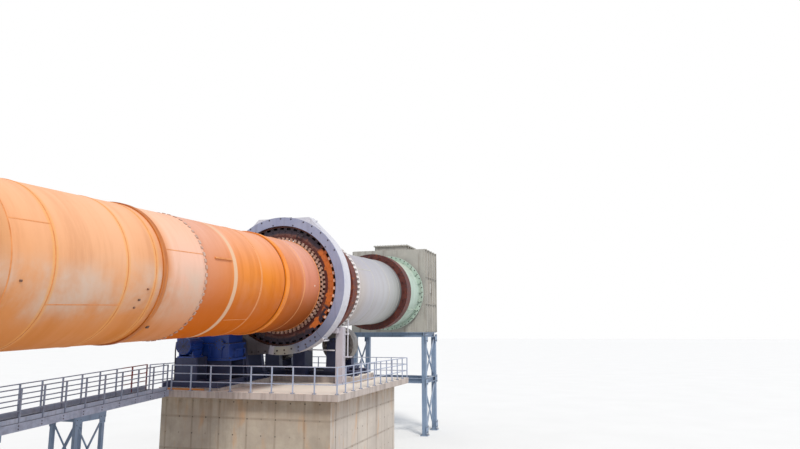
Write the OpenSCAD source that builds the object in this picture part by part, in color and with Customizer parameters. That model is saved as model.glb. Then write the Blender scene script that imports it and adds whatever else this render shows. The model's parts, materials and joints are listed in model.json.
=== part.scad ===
// Rotary kiln with two supports, drawn as a 1:2 scale model (every size below is a model size in mm).
// World frame: +X uphill towards the feed end, +Y the side of the drive and the walkway, +Z up.
// The origin lies on the ground below the kiln axis, in the middle of the drive pier.
// Most pieces are drawn in the kiln frame, whose X axis is the inclined kiln axis.

/* [Kiln shell] */
// Outside diameter of the shell
shell_d = 2000; // [1600:10:2400]
// Thickness of the shell plate
shell_t = 14; // [8:1:30]
// Height of the kiln axis above the drive pier's deck
axis_h = 2200; // [1800:10:2800]
// Thickness of the brick lining
lining_t = 100; // [60:5:150]
// Fall of the kiln axis in percent
slope_pct = 3.5; // [2:0.1:5]
// Discharge end of the shell, along the axis
nose_x = -16150; // [-17000:10:-15000]
// Feed end of the shell, along the axis
tail_x = 6300; // [5800:10:6800]
// First joint between shell sections
joint_1_x = -8650; // [-9200:10:-8000]
// Second joint between shell sections
joint_2_x = -5175; // [-5600:10:-4800]
// Start of the thick section below the gear and the upper tyre
seat_x0 = -860; // [-1000:10:-860]
// End of the thick section
seat_x1 = 1300; // [1250:10:1400]
// Extra thickness of the sections that carry tyres and gear
seat_t = 10; // [4:1:16]

/* [Tyres and rollers] */
// Outside diameter of the tyres
tyre_d = 2380; // [2300:10:2500]
// Width of the tyres
tyre_w = 300; // [240:10:360]
// Centre of the lower tyre, along the axis
tyre_1_x = -12250; // [-12600:10:-12000]
// Centre of the upper tyre, along the axis
tyre_2_x = 850; // [800:10:900]
// Number of saddles between shell and tyre
saddle_n = 60; // [24:2:64]
// Diameter of the support rollers
roller_d = 800; // [700:10:900]
// Width of the support rollers
roller_w = 340; // [300:10:380]
// Angle between the rollers and the vertical
roller_a = 30; // [28:0.5:32]
// Diameter of the roller journals
journal_d = 170; // [140:5:200]
// Distance from the tyre centre to each roller bearing
bearing_x = 330; // [320:5:360]
// Mean radius of the thrust roller
thrust_r = 180; // [160:5:200]

/* [Girth gear and pinion] */
// Centre of the girth gear, along the axis
gear_x = -575; // [-600:5:-560]
// Width of the girth gear
gear_w = 250; // [200:10:280]
// Tooth module
tooth_m = 17; // [16.5:0.1:17.5]
// Teeth on the girth gear
gear_z = 160; // [152:8:168]
// Teeth on the pinion
pinion_z = 20; // [19:1:21]
// Pressure angle
pressure_a = 20; // [20:2.5:25]
// Play between the tooth flanks
backlash = 2; // [1:0.25:3]
// Angle of the pinion below the horizontal
pinion_a = 55; // [52:1:58]
// Diameter of the pinion shaft
shaft_d = 120; // [100:5:140]
// Pockets around the front edge of the gear's web
pocket_n = 48; // [36:4:60]
// Spring plates that carry the gear
spring_n = 12; // [8:1:16]
// Chairs around the shell in each of the two rows ahead of the gear
chair_n = 64; // [60:4:80]

/* [Gear guard] */
// Radius of the guard's drum
guard_r = 1525; // [1500:5:1560]
// Radius of the opening in the guard's faces
guard_open_r = 1335; // [1320:5:1350]
// Front face of the guard, along the axis
guard_x0 = -770; // [-790:5:-750]
// Back face of the guard, along the axis
guard_x1 = -360; // [-370:5:-340]
// Thickness of the guard's plates
guard_t = 12; // [8:1:16]

/* [Piers] */
// Height of the drive pier's deck above the ground
deck_h = 2200; // [2000:10:2300]
// Thickness of the deck slabs
slab_t = 125; // [100:5:160]
// Length of the drive pier's deck
deck_2_l = 4800; // [4600:10:5200]
// Length of the lower pier's deck
deck_1_l = 3000; // [2800:10:3400]
// Width of both decks
deck_w = 4150; // [4000:10:4400]
// Depth of the roller and drive bases below the kiln axis
base_drop = 2080; // [2050:5:2100]

/* [Railings and walkway] */
// Height of the railings
rail_h = 500; // [450:10:560]
// Thickness of the posts and rails
rail_d = 22; // [16:1:30]
// Distance between railing posts
post_gap = 425; // [380:5:500]
// Side of the walkway that faces the kiln
walk_y = 1545; // [1520:5:1600]
// Width of the walkway
walk_w = 520; // [480:10:530]
// Number of trestles below the walkway
trestle_n = 3; // [2:1:4]

/* [Hood and feed chamber] */
// Outer face of the hood's burner wall
hood_x0 = -18000; // [-18400:10:-17800]
// Outer face of the hood's kiln wall
hood_x1 = -15840; // [-15900:10:-15800]
// Half width of the hood
hood_y = 1500; // [1450:10:1600]
// Bottom of the hood
hood_z = 2000; // [1900:10:2100]
// Thickness of the hood's lined walls
hood_t = 120; // [100:5:150]
// Radius of the burner port
burner_r = 150; // [120:5:180]
// Length of the burner port's sleeve
burner_l = 300; // [260:10:340]
// Front of the round feed chamber, along the axis
chamber_x0 = 5960; // [5940:5:6000]
// Front face of the feed box
box_x0 = 7300; // [7250:10:7400]
// Length of the feed box
box_l = 1500; // [1400:10:1600]
// Half width of the feed box
box_y = 1300; // [1280:10:1400]
// Thickness of the feed box's walls
box_t = 80; // [60:5:100]

/* [Hidden] */
fit_gap = 0.3;
fn = 96;
slope = atan(slope_pct / 100);
axis_top = deck_h + axis_h;
shell_r = shell_d / 2;
bore_r = shell_r - shell_t;
seat_r = shell_r + seat_t;
ring_1 = [-6230, -6140];
ring_2 = [-2505, -2360];
tyre_r = tyre_d / 2;
roller_r = roller_d / 2;
journal_r = journal_d / 2;
roller_c = tyre_r + roller_r + fit_gap;
roller_y = roller_c * sin(roller_a);
roller_z = -roller_c * cos(roller_a);
tyre_ri = seat_r + 20;
saddle_w = 60;
saddle_l = 600;
saddle_h = 76;
stop_h = 165;
block_l = 120;
block_run = 30;
gear_r = tooth_m * gear_z / 2;
pinion_r = tooth_m * pinion_z / 2;
mesh_c = gear_r + pinion_r;
pinion_y = mesh_c * cos(pinion_a);
pinion_dz = -mesh_c * sin(pinion_a);
gear_root = gear_r - 1.25 * tooth_m;
rim_r = gear_root - 38;
web_r = rim_r - fit_gap;
web_ri = shell_r + 127;
web_t = 30;
pocket_h = 48;
pocket_w = 92;
spring_l = 400;
spring_t = 12;
chair_rows = [[-850, 45, 0], [-762, 62, 0.5]];
chair_l = 42;
chair_w = 52;
thrust_mid = tyre_r - 40;
thrust_a = asin(thrust_r / thrust_mid);
thrust_shaft = 60;
pinion_w = gear_w + 20;
shaft_r = shaft_d / 2;
base_h = 120;
bed_x0 = -2280;
bed_x1 = -80;
gearbox_x0 = -1770;
gearbox_x1 = -1120;
motor_y = 1375;
shaft_x0 = gearbox_x1 + fit_gap;
shaft_x1 = -145;
pinion_block_x = [-930, -225];
base_top = -base_drop + base_h;
deck_1_h = deck_h + tyre_1_x * sin(slope);
pier_1_x = tyre_1_x * cos(slope);
guard_step_x = guard_x0 + 140;
drum_n = 72;
drum_turn = 180 / drum_n;
column_w = 165;
pinion_cover = [guard_r * [sin(10), -cos(10)], [700, -1535], [1080, -1490], [1215, -1200],
    guard_r * [cos(30), -sin(30)]];
hood_top = axis_top + hood_x1 * tan(slope) + hood_y;
nose_gap = 60;
seal_gap = 60;
seal_w = 440;
seal_t = 40;
seal_r = tyre_r;
chamber_ri = shell_r + nose_gap;
chamber_r = chamber_ri + 60;
lip_r = shell_r + fit_gap;
box_mid = box_x0 + box_l / 2;
box_bottom = axis_top + box_mid * tan(slope) - 1350;
box_top = axis_top + box_mid * tan(slope) + 1450;
walk_x1 = -deck_2_l / 2;
walk_x0 = pier_1_x + deck_1_l / 2;
walk_rise = (deck_h - deck_1_h) / (walk_x1 - walk_x0);
plinth_y = 1450;
beam_y = plinth_y - 100;
pier_in = 225;
footing = 150;
footing_h = 100;
deck_over = 200;
deck_end = 500;

// Frames and simple forms.

function axis_z(x) = axis_top + x * tan(slope);
function base_z(x) = axis_z(x) - (base_drop + fit_gap) / cos(slope);
function ring_pts(r, n, a0 = 0) = [for (i = [0:n - 1]) r * [cos(a0 + i * 360 / n), sin(a0 + i * 360 / n)]];

module on_axis() {
    translate([0, 0, axis_top]) rotate([0, -slope, 0]) children();
}

// A profile drawn in (y, z), drawn out from x0 to x1.
module along_x(x0, x1) {
    translate([x0, 0, 0]) rotate([90, 0, 90]) linear_extrude(height = x1 - x0) children();
}

// A profile drawn in (x, z), drawn out from y0 to y1.
module along_y(y0, y1) {
    translate([0, y1, 0]) rotate([90, 0, 0]) linear_extrude(height = y1 - y0) children();
}

// A profile drawn in (x, radius), turned about the X axis.
module turned(pts) {
    rotate([0, 90, 0]) rotate_extrude($fn = fn) polygon([for (p = pts) [p[1], p[0]]]);
}

module tube(x0, x1, ro, ri) {
    turned([[x0, ri], [x1, ri], [x1, ro], [x0, ro]]);
}

module block(x0, x1, y0, y1, z0, z1) {
    translate([x0, y0, z0]) cube([x1 - x0, y1 - y0, z1 - z0]);
}

// A bar of eight sides between two points.
module bar(a, b, d) {
    v = b - a;
    l = norm(v);
    translate(a) rotate([0, acos(v[2] / l), atan2(v[1], v[0])]) cylinder(d = d, h = l, $fn = 8);
}

// Section of a rolled beam, standing on z = 0 and centred on x = 0.
module beam_section(h, b, tf, tw) {
    polygon([[-b / 2, 0], [b / 2, 0], [b / 2, tf], [tw / 2, tf], [tw / 2, h - tf], [b / 2, h - tf],
        [b / 2, h], [-b / 2, h], [-b / 2, h - tf], [-tw / 2, h - tf], [-tw / 2, tf], [-b / 2, tf]]);
}

// The shell of the kiln and what is fixed to it.

module shell_discharge() {
    color([0.93, 0.74, 0.56]) on_axis() {
        tube(nose_x, joint_1_x, shell_r, bore_r);
        tube(tyre_1_x - saddle_l / 2 - 120, tyre_1_x + saddle_l / 2 + 120, seat_r, shell_r - 1);
    }
}

module shell_middle() {
    color([0.93, 0.68, 0.46]) on_axis() tube(joint_1_x, joint_2_x, shell_r, bore_r);
}

module shell_upper() {
    color([0.85, 0.48, 0.2]) on_axis() tube(joint_2_x, seat_x0, shell_r, bore_r);
}

module shell_gear_seat() {
    color([0.45, 0.2, 0.14]) on_axis() tube(seat_x0, seat_x1, seat_r, bore_r);
}

module shell_feed() {
    color([0.8, 0.82, 0.78]) on_axis() tube(seat_x1, tail_x, shell_r, bore_r);
}

// Raised rings that stiffen the shell: one between the seams, one ahead of the gear.
module stiffening_rings() {
    color([0.9, 0.5, 0.15]) on_axis() {
        tube(ring_1[0], ring_1[1], shell_r + 20, shell_r + fit_gap);
        tube(ring_2[0], ring_2[1], shell_r + 24, shell_r + fit_gap);
    }
}

// Castings that close the discharge end round the brickwork.
module nose_ring() {
    color([0.35, 0.25, 0.2]) on_axis() turned([[nose_x - 40, bore_r - lining_t], [nose_x - fit_gap, bore_r - lining_t],
        [nose_x - fit_gap, shell_r + fit_gap], [nose_x + 160, shell_r + fit_gap], [nose_x + 160, shell_r + 24],
        [nose_x - 40, shell_r + 24]]);
}

module refractory_lining() {
    color([0.6, 0.5, 0.42]) on_axis() tube(nose_x, tail_x, bore_r - fit_gap, bore_r - lining_t);
}

// A ring of two plates with a band around them, before the feed chamber.
module feed_seal_ring() {
    x1 = chamber_x0 - seal_gap;
    x0 = x1 - seal_w;
    r = shell_r + fit_gap;
    color([0.42, 0.16, 0.12]) on_axis() turned([[x0, r], [x0 + seal_t, r], [x0 + seal_t, seal_r - seal_t],
        [x1 - seal_t, seal_r - seal_t], [x1 - seal_t, r], [x1, r], [x1, seal_r], [x0, seal_r]]);
}

// The tyres and their saddles.

module tyre(x) {
    c = 12;
    turned([[x - tyre_w / 2, tyre_ri], [x + tyre_w / 2, tyre_ri], [x + tyre_w / 2, tyre_r - c],
        [x + tyre_w / 2 - c, tyre_r], [x - tyre_w / 2 + c, tyre_r], [x - tyre_w / 2, tyre_r - c]]);
}

module tyre_1() {
    color([0.42, 0.18, 0.13]) on_axis() tyre(tyre_1_x);
}

module tyre_2() {
    color([0.42, 0.18, 0.13]) on_axis() tyre(tyre_2_x);
}

// One saddle: a pad below the tyre, a low block on its downhill side and a tall one on the uphill side.
module saddle(x) {
    r0 = seat_r + fit_gap;
    r1 = sqrt(tyre_ri * tyre_ri - saddle_w * saddle_w / 4) - fit_gap;
    e = tyre_w / 2 + fit_gap;
    h0 = r0 + saddle_h;
    h1 = r0 + stop_h;
    translate([x, -saddle_w / 2, 0]) rotate([90, 0, 0]) mirror([0, 0, 1]) linear_extrude(height = saddle_w)
        polygon([[-saddle_l / 2, r0], [saddle_l / 2, r0], [saddle_l / 2, r1], [e + block_l, r1],
            [e + block_l - block_run, h1], [e, h1], [e, r1], [-e, r1], [-e, h0], [-e - block_l + block_run, h0],
            [-e - block_l, r1], [-saddle_l / 2, r1]]);
}

module tyre_saddles() {
    color([0.75, 0.72, 0.68]) on_axis() for (x = [tyre_1_x, tyre_2_x], i = [0:saddle_n - 1])
        rotate([i * 360 / saddle_n, 0, 0]) saddle(x);
}

// The girth gear and the parts that carry it.

// Angle from the middle of a tooth to its involute flank at radius r.
function flank_a(z, r) = let (rp = tooth_m * z / 2, rb = rp * cos(pressure_a),
    ap = tan(pressure_a) * 180 / PI - pressure_a, ar = r > rb ? acos(rb / r) : 0)
    (PI * tooth_m / 2 - backlash / 2) / rp / 2 * 180 / PI + ap - (tan(ar) * 180 / PI - ar);

function tooth_pts(z, a0) = let (rp = tooth_m * z / 2, root = rp - 1.25 * tooth_m, tip = rp + tooth_m,
    rs = [root, rp - 0.4 * tooth_m, rp + 0.35 * tooth_m, tip])
    [for (i = [0:z - 1]) let (a = a0 + i * 360 / z)
        each concat([for (k = [0:3]) rs[k] * [cos(a - flank_a(z, rs[k])), sin(a - flank_a(z, rs[k]))]],
            [for (k = [3:-1:0]) rs[k] * [cos(a + flank_a(z, rs[k])), sin(a + flank_a(z, rs[k]))]])];

module girth_gear() {
    color([0.5, 0.22, 0.12]) on_axis() along_x(gear_x - gear_w / 2, gear_x + gear_w / 2) difference() {
        polygon(tooth_pts(gear_z, -pinion_a));
        polygon(ring_pts(rim_r / cos(180 / 120), 120));
    }
}

// Two annular plates joined by a ring, with pockets in the front one's edge and lugs for the spring plates.
module gear_web() {
    x0 = gear_x - gear_w / 2;
    x1 = gear_x + gear_w / 2;
    pr = web_r - pocket_h;
    color([0.8, 0.38, 0.12]) on_axis() {
        difference() {
            union() {
                tube(x0, x0 + web_t, web_r, web_ri);
                tube(x1 - web_t, x1, web_r, web_ri);
                tube(x0 + web_t - 1, x1 - web_t + 1, pr - 5, pr - 35);
            }
            for (i = [0:pocket_n - 1]) rotate([i * 360 / pocket_n, 0, 0])
                block(x0 - 1, x0 + web_t + 1, -pocket_w / 2, pocket_w / 2, pr, web_r + 20);
        }
        for (i = [0:spring_n - 1]) rotate([i * 360 / spring_n, 0, 0]) {
            z = seat_r + spring_t + 2 * fit_gap;
            block(x0 + web_t / 2, x1 - web_t / 2, spring_l - 90, spring_l - 10, z, z + 28);
            for (x = [x0, x1 - web_t]) block(x, x + web_t, spring_l - 90, spring_l - 10, z + 14, web_ri + 40);
        }
    }
}

// Plates that leave the shell along a tangent and end below the lugs of the gear, and two rows of
// chairs on the shell ahead of it, each row given by its place, its height and its turn in pitches.
module gear_springs() {
    color([0.7, 0.66, 0.62]) on_axis() {
        for (i = [0:spring_n - 1]) rotate([i * 360 / spring_n, 0, 0])
            block(gear_x - 95, gear_x + 95, -60, spring_l, seat_r + fit_gap, seat_r + fit_gap + spring_t);
        for (c = chair_rows, i = [0:chair_n - 1]) rotate([(i + c[2]) * 360 / chair_n, 0, 0])
            block(c[0], c[0] + chair_l, -chair_w / 2, chair_w / 2, seat_r + fit_gap, seat_r + c[1]);
    }
}

// The rollers.

module roller(x, side) {
    w = roller_w / 2;
    on_axis() translate([x, side * roller_y, roller_z]) turned([[-412, 0], [412, 0], [412, journal_r], [240, journal_r],
        [236, journal_r + 20], [w, journal_r + 20], [w, 150], [w - 60, 175], [w - 60, 300], [w, 325], [w, roller_r - 8],
        [w - 8, roller_r], [8 - w, roller_r], [-w, roller_r - 8], [-w, 325], [60 - w, 300], [60 - w, 175], [-w, 150],
        [-w, journal_r + 20], [-236, journal_r + 20], [-240, journal_r], [-412, journal_r]]);
}

module roller_1_left() {
    color([0.4, 0.38, 0.38]) roller(tyre_1_x, 1);
}

module roller_1_right() {
    color([0.4, 0.38, 0.38]) roller(tyre_1_x, -1);
}

module roller_2_left() {
    color([0.4, 0.38, 0.38]) roller(tyre_2_x, 1);
}

module roller_2_right() {
    color([0.4, 0.38, 0.38]) roller(tyre_2_x, -1);
}

// The thrust roller is a cone whose point lies on the kiln axis, in the plane of the tyre's lower side.
module on_thrust_axis() {
    on_axis() translate([tyre_2_x - tyre_w / 2 - fit_gap, 0, 0]) rotate([0, thrust_a, 0]) children();
}

module thrust_roller() {
    l0 = (thrust_mid - 46) * cos(thrust_a);
    l1 = (thrust_mid + 74) * cos(thrust_a);
    t = tan(thrust_a);
    color([0.4, 0.38, 0.38]) on_thrust_axis() rotate_extrude($fn = fn) polygon([[0, -l0 - 4], [l0 * t - 30, -l0 - 4],
        [l0 * t, -l0 - 14], [l1 * t, -l1 + 8], [l1 * t - 10, -l1], [thrust_shaft + 20, -l1], [thrust_shaft + 20, -l1 - 20],
        [thrust_shaft, -l1 - 20], [thrust_shaft, -l1 - 300], [0, -l1 - 300]]);
}

module thrust_bearing() {
    l1 = (thrust_mid + 74) * cos(thrust_a);
    color([0.35, 0.37, 0.4]) difference() {
        union() {
            on_thrust_axis() translate([0, 0, -l1 - 330]) cylinder(r = 130, h = 300, $fn = fn);
            on_thrust_axis() translate([0, 0, -l1 - 330]) cylinder(r = 165, h = 40, $fn = fn);
            on_axis() translate([tyre_2_x, 0, 0]) block(-610, -160, -150, 150, base_top, -l1 - 180);
        }
        on_thrust_axis() translate([0, 0, -l1 - 305]) cylinder(r = thrust_shaft + fit_gap, h = 400, $fn = fn);
    }
}

// The roller stations.

module station_beam(x) {
    along_y(-beam_y, beam_y) translate([x, -base_drop]) beam_section(base_h, 220, 20, 24);
}

module roller_bases() {
    color([0.14, 0.16, 0.3]) on_axis() for (x = [tyre_1_x, tyre_2_x]) {
        for (s = [-1, 1]) station_beam(x + s * bearing_x);
        for (y = [100 - beam_y, 0, beam_y - 100])
            block(x - bearing_x - 10, x + bearing_x + 10, y - 40, y + 40, -base_drop + 20, base_top - 20);
        block(x - 620, x - bearing_x + 10, -160, 160, -base_drop, base_top);
    }
}

// Pillow block with a foot and a closed end cap on its outer side.
module pillow_block(x, s) {
    difference() {
        union() {
            along_x(x - 90, x + 90) {
                translate([0, roller_z]) circle(r = journal_r + 85, $fn = fn);
                polygon([[-journal_r - 85, roller_z], [journal_r + 85, roller_z], [journal_r + 110, base_top + 40],
                    [-journal_r - 110, base_top + 40]]);
            }
            block(x - 105, x + 105, -240, 240, base_top, base_top + 45);
            translate([s > 0 ? x + 85 : x - 110, 0, roller_z]) rotate([0, 90, 0]) cylinder(r = 125, h = 25, $fn = fn);
        }
        translate([s > 0 ? x - 150 : x - 88, 0, roller_z]) rotate([0, 90, 0])
            cylinder(r = journal_r + fit_gap, h = 238, $fn = fn);
    }
}

module roller_bearings() {
    color([0.15, 0.18, 0.32]) on_axis() for (x = [tyre_1_x, tyre_2_x], s = [-1, 1], e = [-1, 1])
        translate([0, s * roller_y, 0]) pillow_block(x + e * bearing_x, e);
}

// The guard of the girth gear.

// The sector that the pinion's own cover takes.
module pinion_sector(x0, x1) {
    along_x(x0, x1) polygon([[0, 0], 2600 * [sin(10), -cos(10)], [2700, -2700], 2600 * [cos(30), -sin(30)]]);
}

// Outline of the drum, a ring of many short sides.
module drum_2d(r) {
    polygon(ring_pts(r, drum_n, drum_turn));
}

// Outline of the casing behind it: the same ring, with flat sides and two corners at its top.
module casing_2d(r) {
    polygon(concat([for (a = [drum_turn:2 * drum_turn:45]) r * [cos(a), sin(a)]],
        [for (a = [67.5, 112.5]) r * cos(drum_turn) / cos(22.5) * [cos(a), sin(a)]],
        [for (a = [135 + drum_turn:2 * drum_turn:360]) r * [cos(a), sin(a)]]));
}

module guard_face() {
    color([0.6, 0.6, 0.7]) on_axis() difference() {
        tube(guard_x0, guard_x0 + guard_t, guard_r, guard_open_r);
        pinion_sector(guard_x0 - 1, guard_x1 + 1);
    }
}

// Round drum in front and, from the step on, the casing with its corners and its back plate.
module guard_rim() {
    color([0.8, 0.8, 0.84]) on_axis() difference() {
        union() {
            along_x(guard_x0 + guard_t, guard_step_x) drum_2d(guard_r);
            along_x(guard_step_x, guard_x1) casing_2d(guard_r);
        }
        along_x(guard_x0 + guard_t - 1, guard_step_x + guard_t) drum_2d(guard_r - guard_t);
        along_x(guard_step_x + guard_t, guard_x1 - guard_t) casing_2d(guard_r - guard_t);
        along_x(guard_x1 - guard_t - 1, guard_x1 + 1) drum_2d(guard_open_r);
        pinion_sector(guard_x0 - 1, guard_x1 + 1);
    }
}

// Cover of the pinion: two cheeks and a folded skirt.
module pinion_guard() {
    inner = [for (p = pinion_cover) p * (1 - guard_t / norm(p))];
    color([0.62, 0.64, 0.7]) on_axis() difference() {
        union() {
            for (x = [guard_x0, guard_x1 - guard_t]) along_x(x, x + guard_t) difference() {
                polygon(concat([[0, 0]], pinion_cover));
                circle(r = guard_open_r, $fn = fn);
            }
            along_x(guard_x0, guard_x1) difference() {
                polygon(concat([[0, 0]], pinion_cover));
                polygon(concat([[0, 0]], inner));
                circle(r = guard_open_r, $fn = fn);
            }
        }
        translate([guard_x0 - 5, pinion_y, pinion_dz]) rotate([0, 90, 0])
            cylinder(r = shaft_r + 15, h = guard_x1 - guard_x0 + 10, $fn = fn);
        // a slit at both ends keeps the cover clear of the drum
        for (a = [10, 60]) rotate([a, 0, 0])
            block(guard_x0 - 1, guard_x1 + 1, -fit_gap, fit_gap, -1700, -1200);
    }
}

// Columns beside the guard, with brackets to its back plate.
// Each column is given by its corner, its top below the axis and the inner end of its bracket.
module guard_supports() {
    color([0.62, 0.64, 0.68]) {
        for (c = [[-200, -1290, -940, -1060], [78, 1418, -700, 1200]]) {
            block(c[0], c[0] + column_w, c[1], c[1] + column_w, deck_h + fit_gap, axis_top + c[2]);
            block(c[0] - 28, c[0] + column_w + 28, c[1] - 28, c[1] + column_w + 28, deck_h + fit_gap, deck_h + 30);
            on_axis() block(guard_x1 + fit_gap, c[0] + 60, min(c[1] + 80, c[3]), max(c[1] + 80, c[3]), c[2] - 130, c[2] - 20);
        }
    }
}

// The drive.

module pinion() {
    color([0.45, 0.3, 0.24]) on_axis() translate([0, pinion_y, pinion_dz])
        along_x(gear_x - pinion_w / 2, gear_x + pinion_w / 2) difference() {
            polygon(tooth_pts(pinion_z, 180 - pinion_a + 180 / pinion_z));
            polygon(ring_pts((shaft_r + fit_gap) / cos(180 / 24), 24));
        }
}

module pinion_shaft() {
    color([0.5, 0.48, 0.46]) on_axis() translate([0, pinion_y, pinion_dz]) {
        rotate([0, 90, 0]) translate([0, 0, shaft_x0]) cylinder(r = shaft_r, h = shaft_x1 - shaft_x0, $fn = fn);
        rotate([0, 90, 0]) translate([0, 0, shaft_x0]) cylinder(r = 130, h = 60, $fn = fn);
    }
}

module drive_bed() {
    color([0.32, 0.36, 0.42]) on_axis() {
        for (y = [640, 1180, 1780]) translate([0, y, 0]) along_x(bed_x0, bed_x1) translate([0, -base_drop])
            beam_section(base_h, 140, 18, 20);
        for (x = [bed_x0, gearbox_x0 + 50, gearbox_x1, gearbox_x1 + 160, bed_x1 - 200, bed_x1 - 20])
            block(x, x + 20, 580, 1840, -base_drop + 10, base_top - 10);
        // pedestals of the gearbox and the motor
        for (x = [gearbox_x0 + 50, gearbox_x1 - 60]) block(x, x + 60, 645, 1695, base_top - 5, pinion_dz - 330);
        for (x = [bed_x0 + 80, bed_x0 + 430]) block(x, x + 50, 1130, 1615, base_top - 5, pinion_dz - 240);
    }
}

module pinion_block(x) {
    difference() {
        union() {
            along_x(x - 60, x + 60) {
                translate([pinion_y, pinion_dz]) circle(r = shaft_r + 60, $fn = fn);
                polygon([[pinion_y - 120, pinion_dz], [pinion_y + 120, pinion_dz], [pinion_y + 230, base_top + 20],
                    [pinion_y - 230, base_top + 20]]);
            }
            block(x - 80, x + 80, pinion_y - 260, pinion_y + 320, base_top, base_top + 40);
        }
        translate([x - 100, pinion_y, pinion_dz]) rotate([0, 90, 0]) cylinder(r = shaft_r + fit_gap, h = 200, $fn = fn);
    }
}

module pinion_bearings() {
    color([0.3, 0.36, 0.42]) on_axis() for (x = pinion_block_x) pinion_block(x);
}

// Split housing with a flange at the joint, feet, ribs and the caps of its shafts.
module gearbox() {
    z = pinion_dz;
    color([0.1, 0.22, 0.5]) on_axis() {
        block(gearbox_x0 + 30, gearbox_x1 - 30, 660, 1680, z - 290, z);
        block(gearbox_x0, gearbox_x1, 630, 1710, z - 20, z + 20);
        along_x(gearbox_x0 + 50, gearbox_x1 - 50) polygon([[680, z], [1660, z], [1660, z + 150], [1520, z + 240], [760, z + 300], [680, z + 250]]);
        block(gearbox_x0, gearbox_x1, 610, 1730, z - 330, z - 285);
        translate([gearbox_x1 - 30, pinion_y, z]) rotate([0, 90, 0]) cylinder(r = 125, h = 30, $fn = fn);
        for (y = [pinion_y, motor_y]) translate([gearbox_x0, y, z]) rotate([0, 90, 0]) cylinder(r = 110, h = 60, $fn = fn);
        for (y = [820, 1120, 1420]) block(gearbox_x0 + 8, gearbox_x1 - 8, y, y + 20, z - 300, z - 10);
    }
}

// Motor with cooling fins, feet, terminal box and the guard of its coupling.
module motor() {
    z = pinion_dz;
    color([0.1, 0.22, 0.5]) on_axis() translate([0, motor_y, z]) {
        rotate([0, 90, 0]) translate([0, 0, -2260]) cylinder(r = 165, h = 400, $fn = fn);
        for (i = [0:17]) rotate([i * 20, 0, 0]) block(-2220, -1900, -4, 4, 150, 182);
        rotate([0, 90, 0]) translate([0, 0, -2300]) cylinder(r = 172, h = 60, $fn = fn);
        rotate([0, 90, 0]) translate([0, 0, -1870]) cylinder(r = 100, h = 99.7, $fn = fn);
        block(-2210, -1870, -200, 200, -240, -215);
        for (y = [-170, 140]) block(-2200, -1880, y, y + 30, -220, -90);
        block(-2160, -1960, 120, 250, 60, 160);
    }
}

// The piers.

module pier(x0, x1, top) {
    y = deck_w / 2 - pier_in;
    block(x0, x1, -y, y, 0, top - slab_t);
    block(x0 - footing, x1 + footing, -y - footing, y + footing, 0, footing_h);
}

module pier_1() {
    color([0.72, 0.68, 0.6]) pier(pier_1_x - deck_1_l / 2 + deck_over, pier_1_x + deck_1_l / 2 - deck_over, deck_1_h);
}

module pier_2() {
    color([0.72, 0.68, 0.6]) pier(-deck_2_l / 2 + deck_over, deck_2_l / 2 - deck_end, deck_h);
}

// Concrete plinth whose top lies parallel to the kiln axis.
module plinth(x0, x1, y0, y1, z) {
    along_y(y0, y1) polygon([[x0, z - 1], [x1, z - 1], [x1, base_z(x1)], [x0, base_z(x0)]]);
}

module pier_decks() {
    color([0.78, 0.75, 0.68]) {
        block(pier_1_x - deck_1_l / 2, pier_1_x + deck_1_l / 2, -deck_w / 2, deck_w / 2, deck_1_h - slab_t, deck_1_h);
        plinth(pier_1_x - 640, pier_1_x + 620, -plinth_y, plinth_y, deck_1_h);
        block(-deck_2_l / 2, deck_2_l / 2, -deck_w / 2, deck_w / 2, deck_h - slab_t, deck_h);
        plinth(tyre_2_x - 640 + 75, tyre_2_x + 620, -plinth_y, plinth_y, deck_h);
        plinth(bed_x0 + 33, bed_x1 + 113, 540, 1900, deck_h);
    }
}

// The railings and the walkway.

// A straight run of railing from a to b, with a post at both ends unless one is left out.
module railing(a, b, first = 0, last = 0) {
    n = max(1, round(norm(b - a) / post_gap));
    for (i = [first:n - last]) let (p = a + (b - a) * i / n) {
        translate([p[0] - rail_d / 2, p[1] - rail_d / 2, p[2] - 5]) cube([rail_d, rail_d, rail_h + 5 - rail_d / 4]);
    }
    for (h = [rail_h - rail_d / 2, rail_h * 0.66, rail_h * 0.34]) bar(a + [0, 0, h], b + [0, 0, h], rail_d * 0.9);
}

module deck_railing(x0, x1, z, gap_x) {
    e = deck_w / 2 - 30;
    s = e - rail_d / 2 - fit_gap;
    y = walk_y - 25;
    translate([0, 0, fit_gap + 5]) {
        railing([x0, -e, z], [x1, -e, z]);
        railing([x0, e, z], [x1, e, z]);
        for (x = [x0, x1]) railing([x, -s, z], [x, x == gap_x ? y : s, z], 1, x == gap_x ? 0 : 1);
    }
}

module pier_railings() {
    color([0.5, 0.56, 0.66]) {
        deck_railing(-deck_2_l / 2 + 30, deck_2_l / 2 - 30, deck_h, -deck_2_l / 2 + 30);
        deck_railing(pier_1_x - deck_1_l / 2 + 30, pier_1_x + deck_1_l / 2 - 30, deck_1_h, pier_1_x + deck_1_l / 2 - 30);
    }
}

function walk_z(x) = deck_1_h + walk_rise * (x - walk_x0);

// Floor of gratings between two channels.
module walkway() {
    x0 = walk_x0 + fit_gap;
    x1 = walk_x1 - fit_gap;
    color([0.45, 0.47, 0.5]) {
        for (y = [walk_y, walk_y + walk_w - 12]) along_y(y, y + 12)
            polygon([[x0, walk_z(x0) - 110], [x1, walk_z(x1) - 110], [x1, walk_z(x1) + 10], [x0, walk_z(x0) + 10]]);
        along_y(walk_y + 11, walk_y + walk_w - 11)
            polygon([[x0, walk_z(x0) - 20], [x1, walk_z(x1) - 20], [x1, walk_z(x1)], [x0, walk_z(x0)]]);
        for (i = [0:9]) let (x = x0 + 200 + i * (x1 - x0 - 400) / 9)
            block(x - 20, x + 20, walk_y + 5, walk_y + walk_w - 5, walk_z(x) - 90, walk_z(x) - 10);
    }
}

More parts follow.
